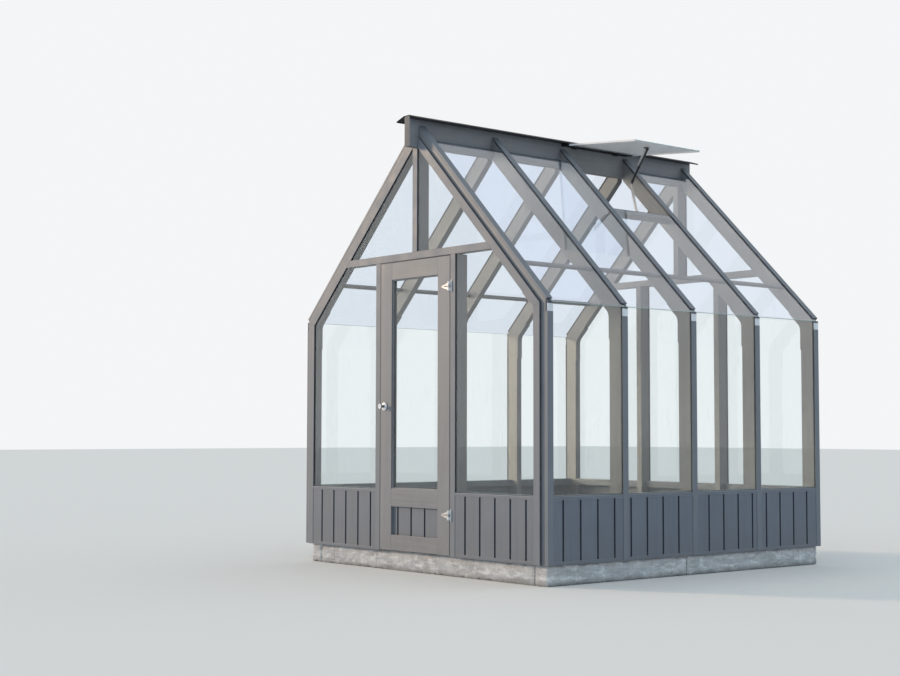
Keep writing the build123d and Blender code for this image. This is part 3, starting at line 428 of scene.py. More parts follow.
def board_group():
    """A tone for each board, by its number along the wall."""
    group, enter, leave = new_group(
        "board_tone",
        [("Place", "NodeSocketFloat", 0.0), ("Start", "NodeSocketFloat", 0.0),
         ("Cover", "NodeSocketFloat", 0.1)],
        [("Tone", "NodeSocketFloat")])
    along = maths(group, "SUBTRACT", enter.outputs["Place"], enter.outputs["Start"])
    number = maths(group, "FLOOR", maths(group, "DIVIDE", along, enter.outputs["Cover"]))
    chance = group.nodes.new("ShaderNodeTexWhiteNoise")
    chance.noise_dimensions = "1D"
    group.links.new(number, chance.inputs["W"])
    group.links.new(chance.outputs["Value"], leave.inputs["Tone"])
    return group


GRAIN = grain_group()
SPLASH = splash_group()
WEATHER = weather_group()
BOARD_TONE = board_group()


def start_material(name):
    """A material with its principled shader and the object's coordinates."""
    material = bpy.data.materials.new(name)
    material.use_nodes = True
    tree = material.node_tree
    shader = tree.nodes["Principled BSDF"]
    place = tree.nodes.new("ShaderNodeTexCoord")
    return material, tree, shader, place.outputs["Object"]


def turned(tree, vector, degrees):
    """The object's coordinates turned so that X runs along the grain."""
    node = tree.nodes.new("ShaderNodeMapping")
    node.vector_type = "POINT"
    node.inputs["Rotation"].default_value = [math.radians(d) for d in degrees]
    tree.links.new(vector, node.inputs["Vector"])
    return node.outputs["Vector"]


def use_group(tree, group, vector):
    """A node group on a vector."""
    node = tree.nodes.new("ShaderNodeGroup")
    node.node_tree = group
    tree.links.new(vector, node.inputs["Vector"])
    return node


def bump(tree, shader, height, strength, distance):
    """A bump from a height."""
    node = tree.nodes.new("ShaderNodeBump")
    node.inputs["Strength"].default_value = strength
    node.inputs["Distance"].default_value = distance
    tree.links.new(height, node.inputs["Height"])
    tree.links.new(node.outputs["Normal"], shader.inputs["Normal"])


def coat(tree, shader, colour, rough):
    """Link a colour and a roughness to the shader."""
    tree.links.new(colour, shader.inputs["Base Color"])
    tree.links.new(rough, shader.inputs["Roughness"])


def painted_timber(name, degrees, tones=(PAINT_DARK, PAINT, PAINT_LIGHT), boards=None, gloss=0.5):
    """Satin paint on planed softwood, with its grain along one direction. Boards differ a little in tone:
    boards gives their axis, their start and the width that each covers."""
    material, tree, shader, where = start_material(name)
    dark, plain, light = tones
    grain = use_group(tree, GRAIN, turned(tree, where, degrees))
    weather = use_group(tree, WEATHER, where)
    colour = mixed(tree, grain.outputs["Tone"], dark, light)
    colour = mixed(tree, remapped(tree, grain.outputs["Fibre"], 0.32, 0.68, 0.0, 0.55), colour, plain)
    if boards:
        axis, start, cover = boards
        number = tree.nodes.new("ShaderNodeGroup")
        number.node_tree = BOARD_TONE
        tree.links.new(split_axes(tree, where)[axis], number.inputs["Place"])
        number.inputs["Start"].default_value = start
        number.inputs["Cover"].default_value = cover
        colour = mixed(tree, times(tree, number.outputs["Tone"], 0.35), colour, dark)
    splash = use_group(tree, SPLASH, where)
    colour = layered(tree, colour, (times(tree, weather.outputs["Streaks"], 0.30), light),
                     (times(tree, weather.outputs["Specks"], 0.28), DUST),
                     (times(tree, splash.outputs["Mask"], 0.5), EARTH))
    rough = maths(tree, "ADD", remapped(tree, grain.outputs["Tone"], 0.0, 1.0, 0.42, 0.56),
                  times(tree, weather.outputs["Specks"], 0.2))
    coat(tree, shader, colour, rough)
    shader.inputs["Specular IOR Level"].default_value = gloss
    bump(tree, shader, grain.outputs["Height"], 0.3, 0.0012)
    return material


def coated_metal(name, colour, dust, rough, gloss=0.5):
    """Powder-coated strip with a fine texture, rain marks and a little dust."""
    material, tree, shader, where = start_material(name)
    weather = use_group(tree, WEATHER, where)
    haze = remapped(tree, cloud(tree, where, 8.0, 6.0, 0.62), 0.36, 0.70, 0.0, 0.55)
    base = layered(tree, colour, (haze, dust), (times(tree, weather.outputs["Streaks"], 0.22), dust),
                   (times(tree, weather.outputs["Specks"], 0.25), dust))
    coat(tree, shader, base, remapped(tree, haze, 0.0, 0.55, rough, rough + 0.14))
    shader.inputs["Specular IOR Level"].default_value = gloss
    bump(tree, shader, cloud(tree, where, 900.0, 2.0, 0.5), 0.06, 0.0004)
    return material


def soft_rubber(name):
    """Matt black rubber with a faint bloom and dust."""
    material, tree, shader, where = start_material(name)
    bloom = remapped(tree, cloud(tree, where, 30.0, 5.0, 0.62), 0.38, 0.72)
    coat(tree, shader, mixed(tree, bloom, RUBBER, RUBBER_BLOOM), remapped(tree, bloom, 0.0, 1.0, 0.55, 0.78))
    bump(tree, shader, cloud(tree, where, 700.0, 2.0, 0.5), 0.05, 0.0004)
    return material


def clear_glass(name, clean, dusty, rough, shadow):
    """Clear or hazy sheet with faint marks of dried rain. Its shadow lets light through."""
    material, tree, shader, where = start_material(name)
    marks = patches(tree, where, (38.0, 38.0, 9.0), 1.0, 6.0, 0.68, 0.52, 0.78)
    haze = remapped(tree, cloud(tree, where, 3.2, 4.0, 0.6), 0.42, 0.66)
    dirty = times(tree, marks, haze)
    coat(tree, shader, mixed(tree, dirty, clean, dusty),
         remapped(tree, dirty, 0.25, 1.0, rough, rough + 0.10))
    shader.inputs["Transmission Weight"].default_value = 1.0
    shader.inputs["IOR"].default_value = 1.5
    bump(tree, shader, cloud(tree, where, 2.4, 2.0, 0.5), 0.04, 0.004)
    light = tree.nodes.new("ShaderNodeLightPath")
    clear = tree.nodes.new("ShaderNodeBsdfTransparent")
    clear.inputs["Color"].default_value = colour4(shadow)
    blend = tree.nodes.new("ShaderNodeMixShader")
    tree.links.new(light.outputs["Is Shadow Ray"], blend.inputs[0])
    tree.links.new(shader.outputs[0], blend.inputs[1])
    tree.links.new(clear.outputs[0], blend.inputs[2])
    tree.links.new(blend.outputs[0], tree.nodes["Material Output"].inputs["Surface"])
    return material


def plain_finish(name, colour, rough, metallic, scale, change, grit=0.05):
    """A plain finish with a faint cloud in its colour and roughness, and fine specks."""
    material, tree, shader, where = start_material(name)
    darker = tuple(c * (1.0 - change) for c in colour)
    shade = remapped(tree, cloud(tree, where, scale, 5.0, 0.62), 0.34, 0.66)
    fine = remapped(tree, cloud(tree, where, scale * 9.0, 3.0, 0.6), 0.52, 0.74, 0.0, 0.5)
    base = layered(tree, darker, (shade, colour), (fine, darker))
    coat(tree, shader, base, remapped(tree, shade, 0.0, 1.0, rough * 1.2, rough * 0.85))
    shader.inputs["Metallic"].default_value = metallic
    bump(tree, shader, cloud(tree, where, 800.0, 2.0, 0.5), grit, 0.0004)
    return material


def cast_concrete(name):
    """Cast concrete with layers from the mould, pits, stains, a damp foot and a hair crack."""
    material, tree, shader, where = start_material(name)
    across, _, height = split_axes(tree, where)
    broad = patches(tree, where, (7.0, 7.0, 17.0), 1.0, 8.0, 0.66, 0.36, 0.62)
    lime = patches(tree, where, (9.0, 9.0, 26.0), 1.3, 6.0, 0.7, 0.50, 0.62, 0.9)
    slate = patches(tree, where, (4.0, 4.0, 30.0), 1.7, 6.0, 0.66, 0.50, 0.64, 0.8)
    rose = times(tree, remapped(tree, height, *ROSE_BAND, 0.0, 0.8),
                 patches(tree, where, (6.0, 6.0, 14.0), 1.9, 4.0, 0.6, 0.42, 0.58))
    layers = cloud(tree, stretched(tree, where, (5.0, 5.0, 90.0)), 1.0, 5.0, 0.6)
    runs = patches(tree, where, (34.0, 34.0, 3.0), 1.0, 5.0, 0.62, 0.50, 0.72, 0.4)
    grit = cloud(tree, where, 160.0, 7.0, 0.72)
    pits = times(tree, remapped(tree, cells(tree, where, 75.0), 0.10, 0.20, 1.0, 0.0),
                 remapped(tree, cloud(tree, where, 24.0, 3.0, 0.5), 0.50, 0.60))
    damp = maths(tree, "ADD", height, times(tree, cloud(tree, where, 16.0, 5.0, 0.6), 0.05))
    wander = times(tree, maths(tree, "SUBTRACT", cloud(tree, where, 22.0, 5.0, 0.65), 0.5), CRACK_WANDER)
    line = maths(tree, "ABSOLUTE", maths(tree, "SUBTRACT", maths(tree, "ADD", across, wander), CRACK_X))
    crack = remapped(tree, line, *CRACK_SIDES, 1.0, 0.0)
    colour = layered(
        tree, CONCRETE_DARK, (broad, CONCRETE), (slate, CONCRETE_BLUE), (rose, CONCRETE_ROSE),
        (lime, CONCRETE_LIGHT), (remapped(tree, layers, 0.42, 0.62, 0.0, 0.25), CONCRETE_LIGHT),
        (runs, CONCRETE_DARK), (remapped(tree, grit, 0.40, 0.66, 0.0, 0.5), CONCRETE_LIGHT),
        (times(tree, pits, 0.7), CONCRETE_DAMP),
        (remapped(tree, damp, *DAMP_FOOT, 0.75, 0.0), CONCRETE_DAMP),
        (times(tree, crack, 0.85), CONCRETE_DAMP))
    coat(tree, shader, colour, remapped(tree, damp, *DAMP_FOOT, 0.62, 0.92))
    relief = maths(tree, "ADD", times(tree, grit, 0.7), times(tree, layers, 0.4))
    relief = maths(tree, "SUBTRACT", relief, times(tree, pits, 0.8))
    relief = maths(tree, "SUBTRACT", relief, times(tree, crack, 1.5))
    bump(tree, shader, relief, 0.55, 0.004)
    return material


# The way that the grain runs, in degrees about each axis
UPRIGHT = (0.0, 90.0, 0.0)
LENGTHWAYS = (0.0, 0.0, -90.0)
ACROSS = (0.0, 0.0, 0.0)
RIGHT_SLOPE = (0.0, -45.0, 0.0)
LEFT_SLOPE = (0.0, 45.0, 0.0)
BOARD_TONES = (BOARD_DARK, BOARD_PAINT, BOARD_LIGHT)
GROOVE_SHADE_TONES = (GROOVE_SHADE_DARK, GROOVE_SHADE_PAINT, GROOVE_SHADE_LIGHT)
END_SHADE_TONES = (END_SHADE_PAINT_DARK, END_SHADE_PAINT, END_SHADE_PAINT_LIGHT)


def made(maker, *rows):
    """Materials by name, from rows of a name and the other values that their maker takes."""
    return {row[0]: maker(*row) for row in rows}


FINISHES = {
    **made(painted_timber,
           ("timber_upright", UPRIGHT),
           ("timber_lengthways", LENGTHWAYS),
           ("timber_across", ACROSS),
           ("timber_right_slope", RIGHT_SLOPE),
           ("timber_left_slope", LEFT_SLOPE),
           # Softened edges: lighter for wear and as a painted highlight
           ("worn_edges", UPRIGHT, (PAINT, PAINT_LIGHT, PAINT_WORN_HIGHLIT)),
           ("side_boards", UPRIGHT, BOARD_TONES, (1, SIDE_BOARD_START, SIDE_BOARD_COVER)),
           ("gable_boards", UPRIGHT, BOARD_TONES, (0, GABLE_BOARD_START, GABLE_BOARD_COVER)),
           ("wall_rails", LENGTHWAYS, BOARD_TONES),
           # Grooves and the door seam: dark as painted shade, with some dirt
           ("dark_seams", UPRIGHT, GROOVE_SHADE_TONES, None, 0.2),
           # The ridge beam's sawn ends: matt, and darker as painted shade
           ("end_grain", UPRIGHT, END_SHADE_TONES, None, 0.15)),
    **made(coated_metal,
           ("capping", CAPPING, CAPPING_DUST, 0.46),
           ("anthracite", ANTHRACITE, ANTHRACITE_DUST, 0.52, 0.18)),
    "rubber": soft_rubber("rubber"),
    **made(clear_glass,
           ("glass", GLASS, GLASS_DUST, 0.0, GLASS_SHADOW),
           ("roof_glass", ROOF_GLASS, ROOF_GLASS_DUST, 0.0, ROOF_GLASS_SHADOW),
           ("vent_sheet", VENT_SHEET, VENT_SHEET_DUST, 0.28, GLASS_SHADOW)),
    **made(plain_finish,
           ("glass_edge", GLASS_EDGE, 0.30, 0.0, 30.0, 0.25),
           ("white_plastic", WHITE, 0.46, 0.0, 24.0, 0.12),
           ("white_metal", WHITE, 0.44, 0.0, 14.0, 0.10),
           ("bright_metal", BRIGHT, 0.48, 1.0, 60.0, 0.14, 0.02),
           ("zinc_plate", ZINC, 0.34, 0.30, 260.0, 0.05, 0.02),
           ("black_metal", BLACK, 0.38, 0.0, 30.0, 0.3),
           # Knob neck and rims: dark as painted shade
           ("dark_steel", DARK_STEEL_SHADE, 0.34, 0.0, 60.0, 0.2, 0.02)),
    "concrete": cast_concrete("concrete"),
}


# Shaping by hand

def work_on(*pieces):
    """Select these pieces alone. The last one is active."""
    bpy.ops.object.select_all(action="DESELECT")
    for piece in pieces:
        piece.select_set(True)
    bpy.context.view_layer.objects.active = pieces[-1]


def settle(piece):
    """Settle a piece's place into its mesh."""
    work_on(piece)
    bpy.ops.object.transform_apply(location=True, rotation=True, scale=True)


def take(name):
    """Name the piece just added and settle it."""
    piece = bpy.context.active_object
    piece.name = name
    piece.data.name = name
    settle(piece)
    return piece


def edit(piece):
    """Open a piece for shaping, with all of it selected."""
    work_on(piece)
    bpy.ops.object.mode_set(mode="EDIT")
    bpy.ops.mesh.select_all(action="SELECT")


def done():
    """Close the piece."""
    bpy.ops.object.mode_set(mode="OBJECT")


def pick(piece, kind, wanted):
    """Select the faces, edges or points of an open piece that a test accepts."""
    bpy.ops.mesh.select_mode(type=kind)
    bpy.ops.mesh.select_all(action="DESELECT")
    mesh = bmesh.from_edit_mesh(piece.data)
    for part in {"FACE": mesh.faces, "EDGE": mesh.edges, "VERT": mesh.verts}[kind]:
        part.select_set(wanted(part))
    bmesh.update_edit_mesh(piece.data)


def pick_faces(piece, wanted):
    """Select the faces that a test accepts, by their middle and normal."""
    pick(piece, "FACE", lambda face: wanted(face.calc_center_median(), face.normal))


def pick_edges(piece, wanted):
    """Select the edges that a test accepts, by their two ends."""
    pick(piece, "EDGE", lambda edge: wanted(edge.verts[0].co, edge.verts[1].co))


def extrude(*way):
    """Extrude what is selected."""
    bpy.ops.mesh.extrude_region_move(TRANSFORM_OT_translate={"value": way})


def smooth(piece, degrees):
    """Shade a piece smooth, apart from the edges that turn by more."""
    work_on(piece)
    bpy.ops.object.shade_smooth_by_angle(angle=math.radians(degrees))


def add_block(name, low, high):
    """A block between two corners, as a start for shaping."""
    middle = [(a + b) / 2 for a, b in zip(low, high)]
    size = [b - a for a, b in zip(low, high)]
    bpy.ops.mesh.primitive_cube_add(size=1.0, location=middle, scale=size)
    return take(name)


def lathe(name, stations, steps):
    """A turned piece on Z: a disc extruded from one (radius, height) to the next."""
    radius, height = stations[0]
    bpy.ops.mesh.primitive_circle_add(vertices=steps, radius=radius, fill_type="NGON",
                                      location=(0, 0, height))
    piece = take(name)
    edit(piece)
    for next_radius, next_height in stations[1:]:
        extrude(0, 0, next_height - height)
        share = next_radius / radius
        bpy.ops.transform.resize(value=(share, share, 1.0), center_override=(0, 0, next_height))
        radius, height = next_radius, next_height
    bpy.ops.mesh.select_all(action="SELECT")
    bpy.ops.mesh.normals_make_consistent(inside=False)
    done()
    return piece


def place(piece, matrix):
    """Move a piece to its place and settle it there."""
    piece.matrix_world = matrix
    settle(piece)


def pointing(origin, direction):
    """The placing that turns Z to a direction, at an origin."""
    return Matrix.Translation(origin) @ Vector(direction).to_track_quat("Z", "Y").to_matrix().to_4x4()


def set_out(pattern, name, placings):
    """Copies of a pattern piece at each placing, joined into one piece."""
    copies = []
    for matrix in placings:
        work_on(pattern)
        bpy.ops.object.duplicate()
        copy = bpy.context.active_object
        copy.matrix_world = matrix
        copies.append(copy)
    bpy.data.objects.remove(pattern)
    return joined(name, copies)


def joined(name, pieces):
    """Several pieces as one."""
    work_on(*pieces)
    if len(pieces) > 1:
        bpy.ops.object.join()
    return take(name)


def soften(piece, width, segments=2, edge_finish=None):
    """Take the sharp edges off, and keep the faces between them flat."""
    work_on(piece)
    bevel = piece.modifiers.new("softened_edges", "BEVEL")
    bevel.width = width
    bevel.segments = segments
    bevel.limit_method = "ANGLE"
    bevel.angle_limit = math.radians(25.0)
    if edge_finish is not None:
        bevel.material = edge_finish
    bpy.ops.object.modifier_apply(modifier=bevel.name)
    smooth(piece, 20.0)


def wear(piece, *finishes):
    """Give a piece its finishes, the first one all over."""
    piece.data.materials.clear()
    for finish in finishes:
        piece.data.materials.append(FINISHES[finish])


def finish_faces(piece, number, wanted):
    """Give the faces that a test accepts the finish of that number."""
    for face in piece.data.polygons:
        if wanted(face.center, face.normal):
            face.material_index = number


def fit(piece, body, slot, *nodes):
    """A finished piece: what it moves with, its finish's slot, which is not used, and the nodes that it
    stands for.
    """
    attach(piece, body)
    if nodes:
        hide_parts(*nodes)


def dress(piece, finish, body, slot, *nodes):
    """Give a piece one finish all over, and fit it."""
    wear(piece, finish)
    fit(piece, body, slot, *nodes)


def copied(name, node):
    """A merged copy of a solid, ready for shaping."""
    work_on(NODES[node])
    bpy.ops.object.duplicate()
    piece = bpy.context.active_object
    piece.parent = None
    piece.matrix_world = Matrix.Identity(4)
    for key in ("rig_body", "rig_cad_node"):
        if key in piece:
            del piece[key]
    piece.name = name
    piece.data.name = name
    edit(piece)
    bpy.ops.mesh.remove_doubles(threshold=0.00001)
    bpy.ops.mesh.dissolve_limited(angle_limit=math.radians(0.5))
    done()
    return piece


# Timber, cappings and other plain pieces, with their edges softened

TIMBER = {
    "left_posts": ("timber_upright", FRAME_EDGE),
    "right_posts": ("timber_upright", FRAME_EDGE),
    "knees": ("timber_upright", FRAME_EDGE),
    "left_rafters": ("timber_left_slope", FRAME_EDGE),
    "right_rafters": ("timber_right_slope", FRAME_EDGE),
    "ridge_beam": ("timber_lengthways", HANDLED_EDGE),
    "purlins": ("timber_lengthways", SLIM_EDGE),
    "vent_crossbar": ("timber_lengthways", FRAME_EDGE),
    "tie_beams": ("timber_across", FRAME_EDGE),
    "king_posts": ("timber_upright", FRAME_EDGE),
    "door_posts": ("timber_upright", FRAME_EDGE),
    "rear_posts": ("timber_upright", FRAME_EDGE),
    "door_stops": ("timber_upright", SLIM_EDGE),
    "sill_rails": ("wall_rails", SILL_EDGE),
    "foot_rails": ("wall_rails", FRAME_EDGE),
    "door_stiles": ("timber_upright", HANDLED_EDGE),
    "door_rails": ("timber_across", HANDLED_EDGE),
}

# Faces with a finish of their own: the ridge beam's sawn ends, darker as painted shade, and a black band
# under its cap as painted shadow of the cap, and the seal that the door closes on
FACED = {
    "ridge_beam": (("end_grain", lambda middle, normal: abs(normal.y) > FACING),
                   ("rubber", lambda middle, normal: abs(normal.x) > FACING and middle.z > CAP_SHADOW_LOW)),
    "door_stops": (("rubber", lambda middle, normal: normal.y < -FACING),),
}
# Softened edges that lie in the seam round the door leaf, painted dark as the seam's shade
SEAMED = {
    "door_stiles": lambda middle: abs(middle.x) > LEAF_SIDE,
    "door_rails": lambda middle: middle.z > LEAF_TOP or middle.z < LEAF_FOOT,
    "door_posts": lambda middle: abs(abs(middle.x) - POST_INNER) < SEAM_REACH,
}
DOOR_NODES = ("door_stiles", "door_rails", "door_panel", "door_glass", "door_knobs", "hinge_straps")


def body_of(node):
    """The body that a node's piece moves with."""
    return "door" if node in DOOR_NODES else "house"


for node, (finish, edge) in TIMBER.items():
    timber = copied(f"{node}_planed", node)
    rules = FACED.get(node, ())
    wear(timber, finish, "worn_edges", "dark_seams", *(own for own, wanted in rules))
    # The ridge beam's sides above this cut turn black, as painted shadow of the ridge cap
    if node == "ridge_beam":
        edit(timber)
        bpy.ops.mesh.bisect(plane_co=(0, 0, CAP_SHADOW_LOW), plane_no=(0, 0, 1))
        done()
    for number, (own, wanted) in enumerate(rules):
        finish_faces(timber, 3 + number, wanted)
    soften(timber, edge, 2, 1)
    # Edges in the seam round the door leaf take the dark paint of painted shade
    if node in SEAMED:
        for face in timber.data.polygons:
            if face.material_index == 1 and SEAMED[node](face.center):
                face.material_index = 2
    fit(timber, body_of(node), "painted_timber", node)

for node, work, finish, edge, steps, slot in (
        ("side_cappings", "folded", "capping", FOLDED_EDGE, 2, "capping_metal"),
        ("roof_cappings", "folded", "capping", FOLDED_EDGE, 2, "capping_metal"),
        ("gable_cappings", "folded", "capping", FOLDED_EDGE, 2, "capping_metal"),
        ("ridge_cap", "folded", "anthracite", FOLDED_EDGE, 2, "ridge_metal"),
        ("eaves_clips", "moulded", "white_plastic", MOULDED_EDGE, 3, "white_plastic")):
    plain = copied(f"{node}_{work}", node)
    wear(plain, finish)
    soften(plain, edge, steps)
    fit(plain, "house", slot, node)

for node in ("wall_gaskets", "roof_gaskets"):
    wear(NODES[node], "rubber")


# Boards

def one_board(name, left, right, low, high, tongue):
    """A board that faces -Y with its back at Y 0, and the tongue that runs on behind the next."""
    board = add_block(name, (left, -BOARD_THICKNESS, low), (right, 0.0, high))
    groove_floor = -BOARD_THICKNESS + GROOVE_DEPTH
    edit(board)
    if tongue:
        bpy.ops.mesh.bisect(plane_co=(0, groove_floor, 0), plane_no=(0, 1, 0))
        pick_faces(board, lambda middle, normal: normal.x > 0.5 and middle.y > groove_floor)
        extrude(tongue, 0, 0)
    front = -BOARD_THICKNESS + CLOSE
    pick_edges(board, lambda a, b: a.y < front and b.y < front and abs(a.x - b.x) < CLOSE)
    bpy.ops.mesh.bevel(offset=BOARD_ARRIS, segments=2, affect="EDGES")
    done()
    return board


def board_edges(left, right, start, cover):
    """The left and right edge of each board in a panel, between the grooves."""
    half = GROOVE_WIDTH / 2
    middles = []
    number = math.ceil((left + GROOVE_WIDTH - start) / cover)
    while start + number * cover < right - GROOVE_WIDTH:
        middles.append(start + number * cover)
        number += 1
    edges = [left] + [edge for middle in middles for edge in (middle - half, middle + half)] + [right]
    return list(zip(edges[0::2], edges[1::2]))


def in_groove(middle, normal):
    """Whether a face of a board seen from its front lies in a groove: its floor or its two sides."""
    return abs(normal.x) > 0.7 or (normal.y < -0.7 and middle.y > -BOARD_THICKNESS + GROOVE_DEPTH / 2)


def boarded(name, panels, start, cover, placing, low, high, finish):
    """Panels of tongued boards, each board a piece of its own shape, with their grooves painted dark as shade
    and dirt.
    """
    boards = []
    for left, right in panels:
        spans = board_edges(left, right, start, cover)
        for place_in, (x0, x1) in enumerate(spans):
            tongue = GROOVE_WIDTH if place_in < len(spans) - 1 else 0.0
            boards.append(one_board(f"{name}_{len(boards)}", x0, x1, low, high, tongue))
    panel = joined(name, boards)
    wear(panel, finish, "dark_seams")
    finish_faces(panel, 1, in_groove)
    place(panel, placing)
    smooth(panel, 15.0)
    return panel


def side_panels(sign):
    """The bays of a long wall as ranges of Y, times the sign."""
    spans = []
    for bay in range(BAY_COUNT):
        near = FIRST_FRAME + bay * BAY_PITCH + TIMBER_WIDTH + BOARD_EDGE_GAP
        far = FIRST_FRAME + (bay + 1) * BAY_PITCH - BOARD_EDGE_GAP
        spans.append((near, far) if sign > 0 else (-far, -near))
    return spans


def gable_panels(with_middle):
    """The panels of a gable as ranges of X."""
    gap = BOARD_EDGE_GAP
    spans = [(-CORNER_INNER + gap, -POST_OUTER - gap), (POST_OUTER + gap, CORNER_INNER - gap)]
    if with_middle:
        spans.insert(1, (-POST_INNER + gap, POST_INNER - gap))
    return spans


BOARD_WALLS = (
    ("right_boards", side_panels(1), SIDE_BOARD_START, SIDE_BOARD_COVER,
     Matrix.Translation((HALF_WIDTH, 0, 0)) @ Matrix.Rotation(QUARTER, 4, "Z"), "side_boards"),
    ("left_boards", side_panels(-1), -SIDE_BOARD_START, SIDE_BOARD_COVER,
     Matrix.Translation((-HALF_WIDTH, 0, 0)) @ Matrix.Rotation(-QUARTER, 4, "Z"), "side_boards"),
    ("front_boards", gable_panels(False), GABLE_BOARD_START, GABLE_BOARD_COVER,
     Matrix.Translation((0, FRONT_BOARDS_BACK, 0)), "gable_boards"),
    ("rear_boards", gable_panels(True), -GABLE_BOARD_START, GABLE_BOARD_COVER,
     Matrix.Translation((0, REAR_BOARDS_BACK, 0)) @ Matrix.Rotation(math.pi, 4, "Z"), "gable_boards"),
)
for node, panels, start, cover, placing, finish in BOARD_WALLS:
    boards = boarded(f"{node}_tongued", panels, start, cover, placing, BOARD_LOW, BOARD_HIGH, finish)
    fit(boards, "house", "painted_boards", node)

door_boards = boarded("door_panel_tongued",
                      [(-DOOR_PANE_HALF - DOOR_PANEL_TONGUE, DOOR_PANE_HALF + DOOR_PANEL_TONGUE)],
                      GABLE_BOARD_START, GABLE_BOARD_COVER,
                      Matrix.Translation((0, DOOR_PANEL_FACE + BOARD_THICKNESS, 0)),
                      DOOR_PANEL_LOW - DOOR_PANEL_TONGUE, DOOR_PANEL_HIGH + DOOR_PANEL_TONGUE, "gable_boards")
fit(door_boards, "door", "painted_boards", "door_panel")


# Concrete kerbs

def kerb_block(name, low, high, outer_side):
    """A cast block: the top edge of its outer side chamfered, its faces uneven and its edges chipped."""
    block = add_block(name, low, high)
    axis, outward = outer_side
    face = high[axis] if outward > 0 else low[axis]
    edit(block)
    pick_edges(block, lambda a, b: max(abs(a[axis] - face), abs(b[axis] - face)) < CLOSE
               and min(a.z, b.z) > high[2] - CLOSE)
    bpy.ops.mesh.bevel(offset=KERB_CHAMFER, segments=1, affect="EDGES")
    done()
    remesh = block.modifiers.new("cast_skin", "REMESH")
    remesh.mode = "VOXEL"
    remesh.voxel_size = KERB_GRID
    work_on(block)
    bpy.ops.object.modifier_apply(modifier=remesh.name)
    middle = (Vector(low) + Vector(high)) / 2
    half = (Vector(high) - Vector(low)) / 2
    skin = [(vertex.co.copy(), vertex.normal.copy()) for vertex in block.data.vertices]
    for vertex, (place_in, outwards) in zip(block.data.vertices, skin):
        near_edges = sorted((half[i] - abs(place_in[i] - middle[i])) for i in range(3))
        edge_share = max(0.0, 1.0 - near_edges[1] / KERB_WORN)
        waves = 0.5 + 0.5 * noise.noise(place_in * KERB_WAVES)
        grains = 0.5 + 0.5 * noise.noise(place_in * KERB_GRAINS)
        chips = max(0.0, noise.noise(place_in * KERB_CHIPS + CHIP_SHIFT) - CHIP_LEVEL)
        inward = (KERB_WAVE_DEPTH * waves + KERB_GRAIN_DEPTH * grains
                  + edge_share * (KERB_ARRIS_DEPTH + KERB_CHIP_DEPTH * chips))
        moved = place_in - outwards * inward
        moved.z = min(max(moved.z, 0.0), high[2])
        vertex.co = moved
    smooth(block, 60.0)
    return block


def kerbs():
    """The kerb of each side, cast in lengths that butt."""
    blocks = []
    low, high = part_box("plinth")
    for sign in (-1, 1):
        x0, x1 = sorted((sign * high.x, sign * (high.x - KERB_WIDTH)))
        joints = (low.y, KERB_JOINT, high.y)
        for near, far in zip(joints[:-1], joints[1:]):
            start = near + (KERB_GAP if near == KERB_JOINT else 0.0)
            end = far - (KERB_GAP if far == KERB_JOINT else 0.0)
            blocks.append(kerb_block("side_kerb", (x0, start, 0.0), (x1, end, BASE), (0, sign)))
    inner = high.x - KERB_WIDTH - KERB_BUTT
    for name, near, far, outward in (("front_kerb", low.y, low.y + KERB_WIDTH, -1),
                                     ("rear_kerb", high.y - KERB_WIDTH, high.y, 1)):
        blocks.append(kerb_block(name, (-inner, near, 0.0), (inner, far, BASE), (1, outward)))
    return joined("cast_kerbs", blocks)


dress(kerbs(), "concrete", "house", "concrete", "plinth")


# Glass

# Each pane's sheet, and the way that its broad faces look
PANES = {
    "left_wall_glass": ("glass", (1, 0, 0)),
    "right_wall_glass": ("glass", (1, 0, 0)),
    "front_glass": ("glass", (0, 1, 0)),
    "rear_glass": ("glass", (0, 1, 0)),
    "left_roof_glass": ("roof_glass", (-SLOPE, 0, SLOPE)),
    "right_roof_glass": ("roof_glass", (SLOPE, 0, SLOPE)),
    "vent_glass": ("vent_sheet", (0, 0, 1)),
    "door_glass": ("glass", (0, 1, 0)),
}
for node, (sheet, broadside) in PANES.items():
    pane = copied(f"{node}_cut", node)
    wear(pane, sheet, "glass_edge")
    soften(pane, PANE_EDGE, 1)
    finish_faces(pane, 1, lambda middle, normal: abs(normal.dot(Vector(broadside))) <= FACING)
    fit(pane, body_of(node), "glass", node)


# Door: beads round the pane, seals, knobs and hinges

def glazing_bead(name, face, direction):
    """A mitred bead round the door's pane, on one side of it."""
    middle = (0.0, face, (DOOR_PANE_LOW + DOOR_PANE_HIGH) / 2)
    bpy.ops.mesh.primitive_plane_add(size=1.0, location=middle, rotation=(QUARTER, 0, 0))
    bpy.context.active_object.scale = (
        2 * DOOR_PANE_HALF - BEAD_GAP, DOOR_PANE_HIGH - DOOR_PANE_LOW - BEAD_GAP, 1.0)
    bead = take(name)
    edit(bead)
    bpy.ops.mesh.inset(thickness=BEAD_WIDTH, depth=0.0)
    bpy.ops.mesh.delete(type="FACE")
    bpy.ops.mesh.select_all(action="SELECT")
    extrude(0, direction * BEAD_DEPTH, 0)
    bpy.ops.mesh.select_all(action="SELECT")
    bpy.ops.mesh.normals_make_consistent(inside=False)
    outer = face + direction * BEAD_DEPTH
    inner_x = DOOR_PANE_HALF - BEAD_WIDTH
    pick_edges(bead, lambda a, b: max(abs(a.y - outer), abs(b.y - outer)) < CLOSE
               and max(abs(a.x), abs(b.x)) < inner_x + CLOSE)
    bpy.ops.mesh.bevel(offset=BEAD_ROUNDING, segments=3, affect="EDGES")
    done()
    smooth(bead, 40.0)
    dress(bead, "timber_upright", "door", "painted_timber")


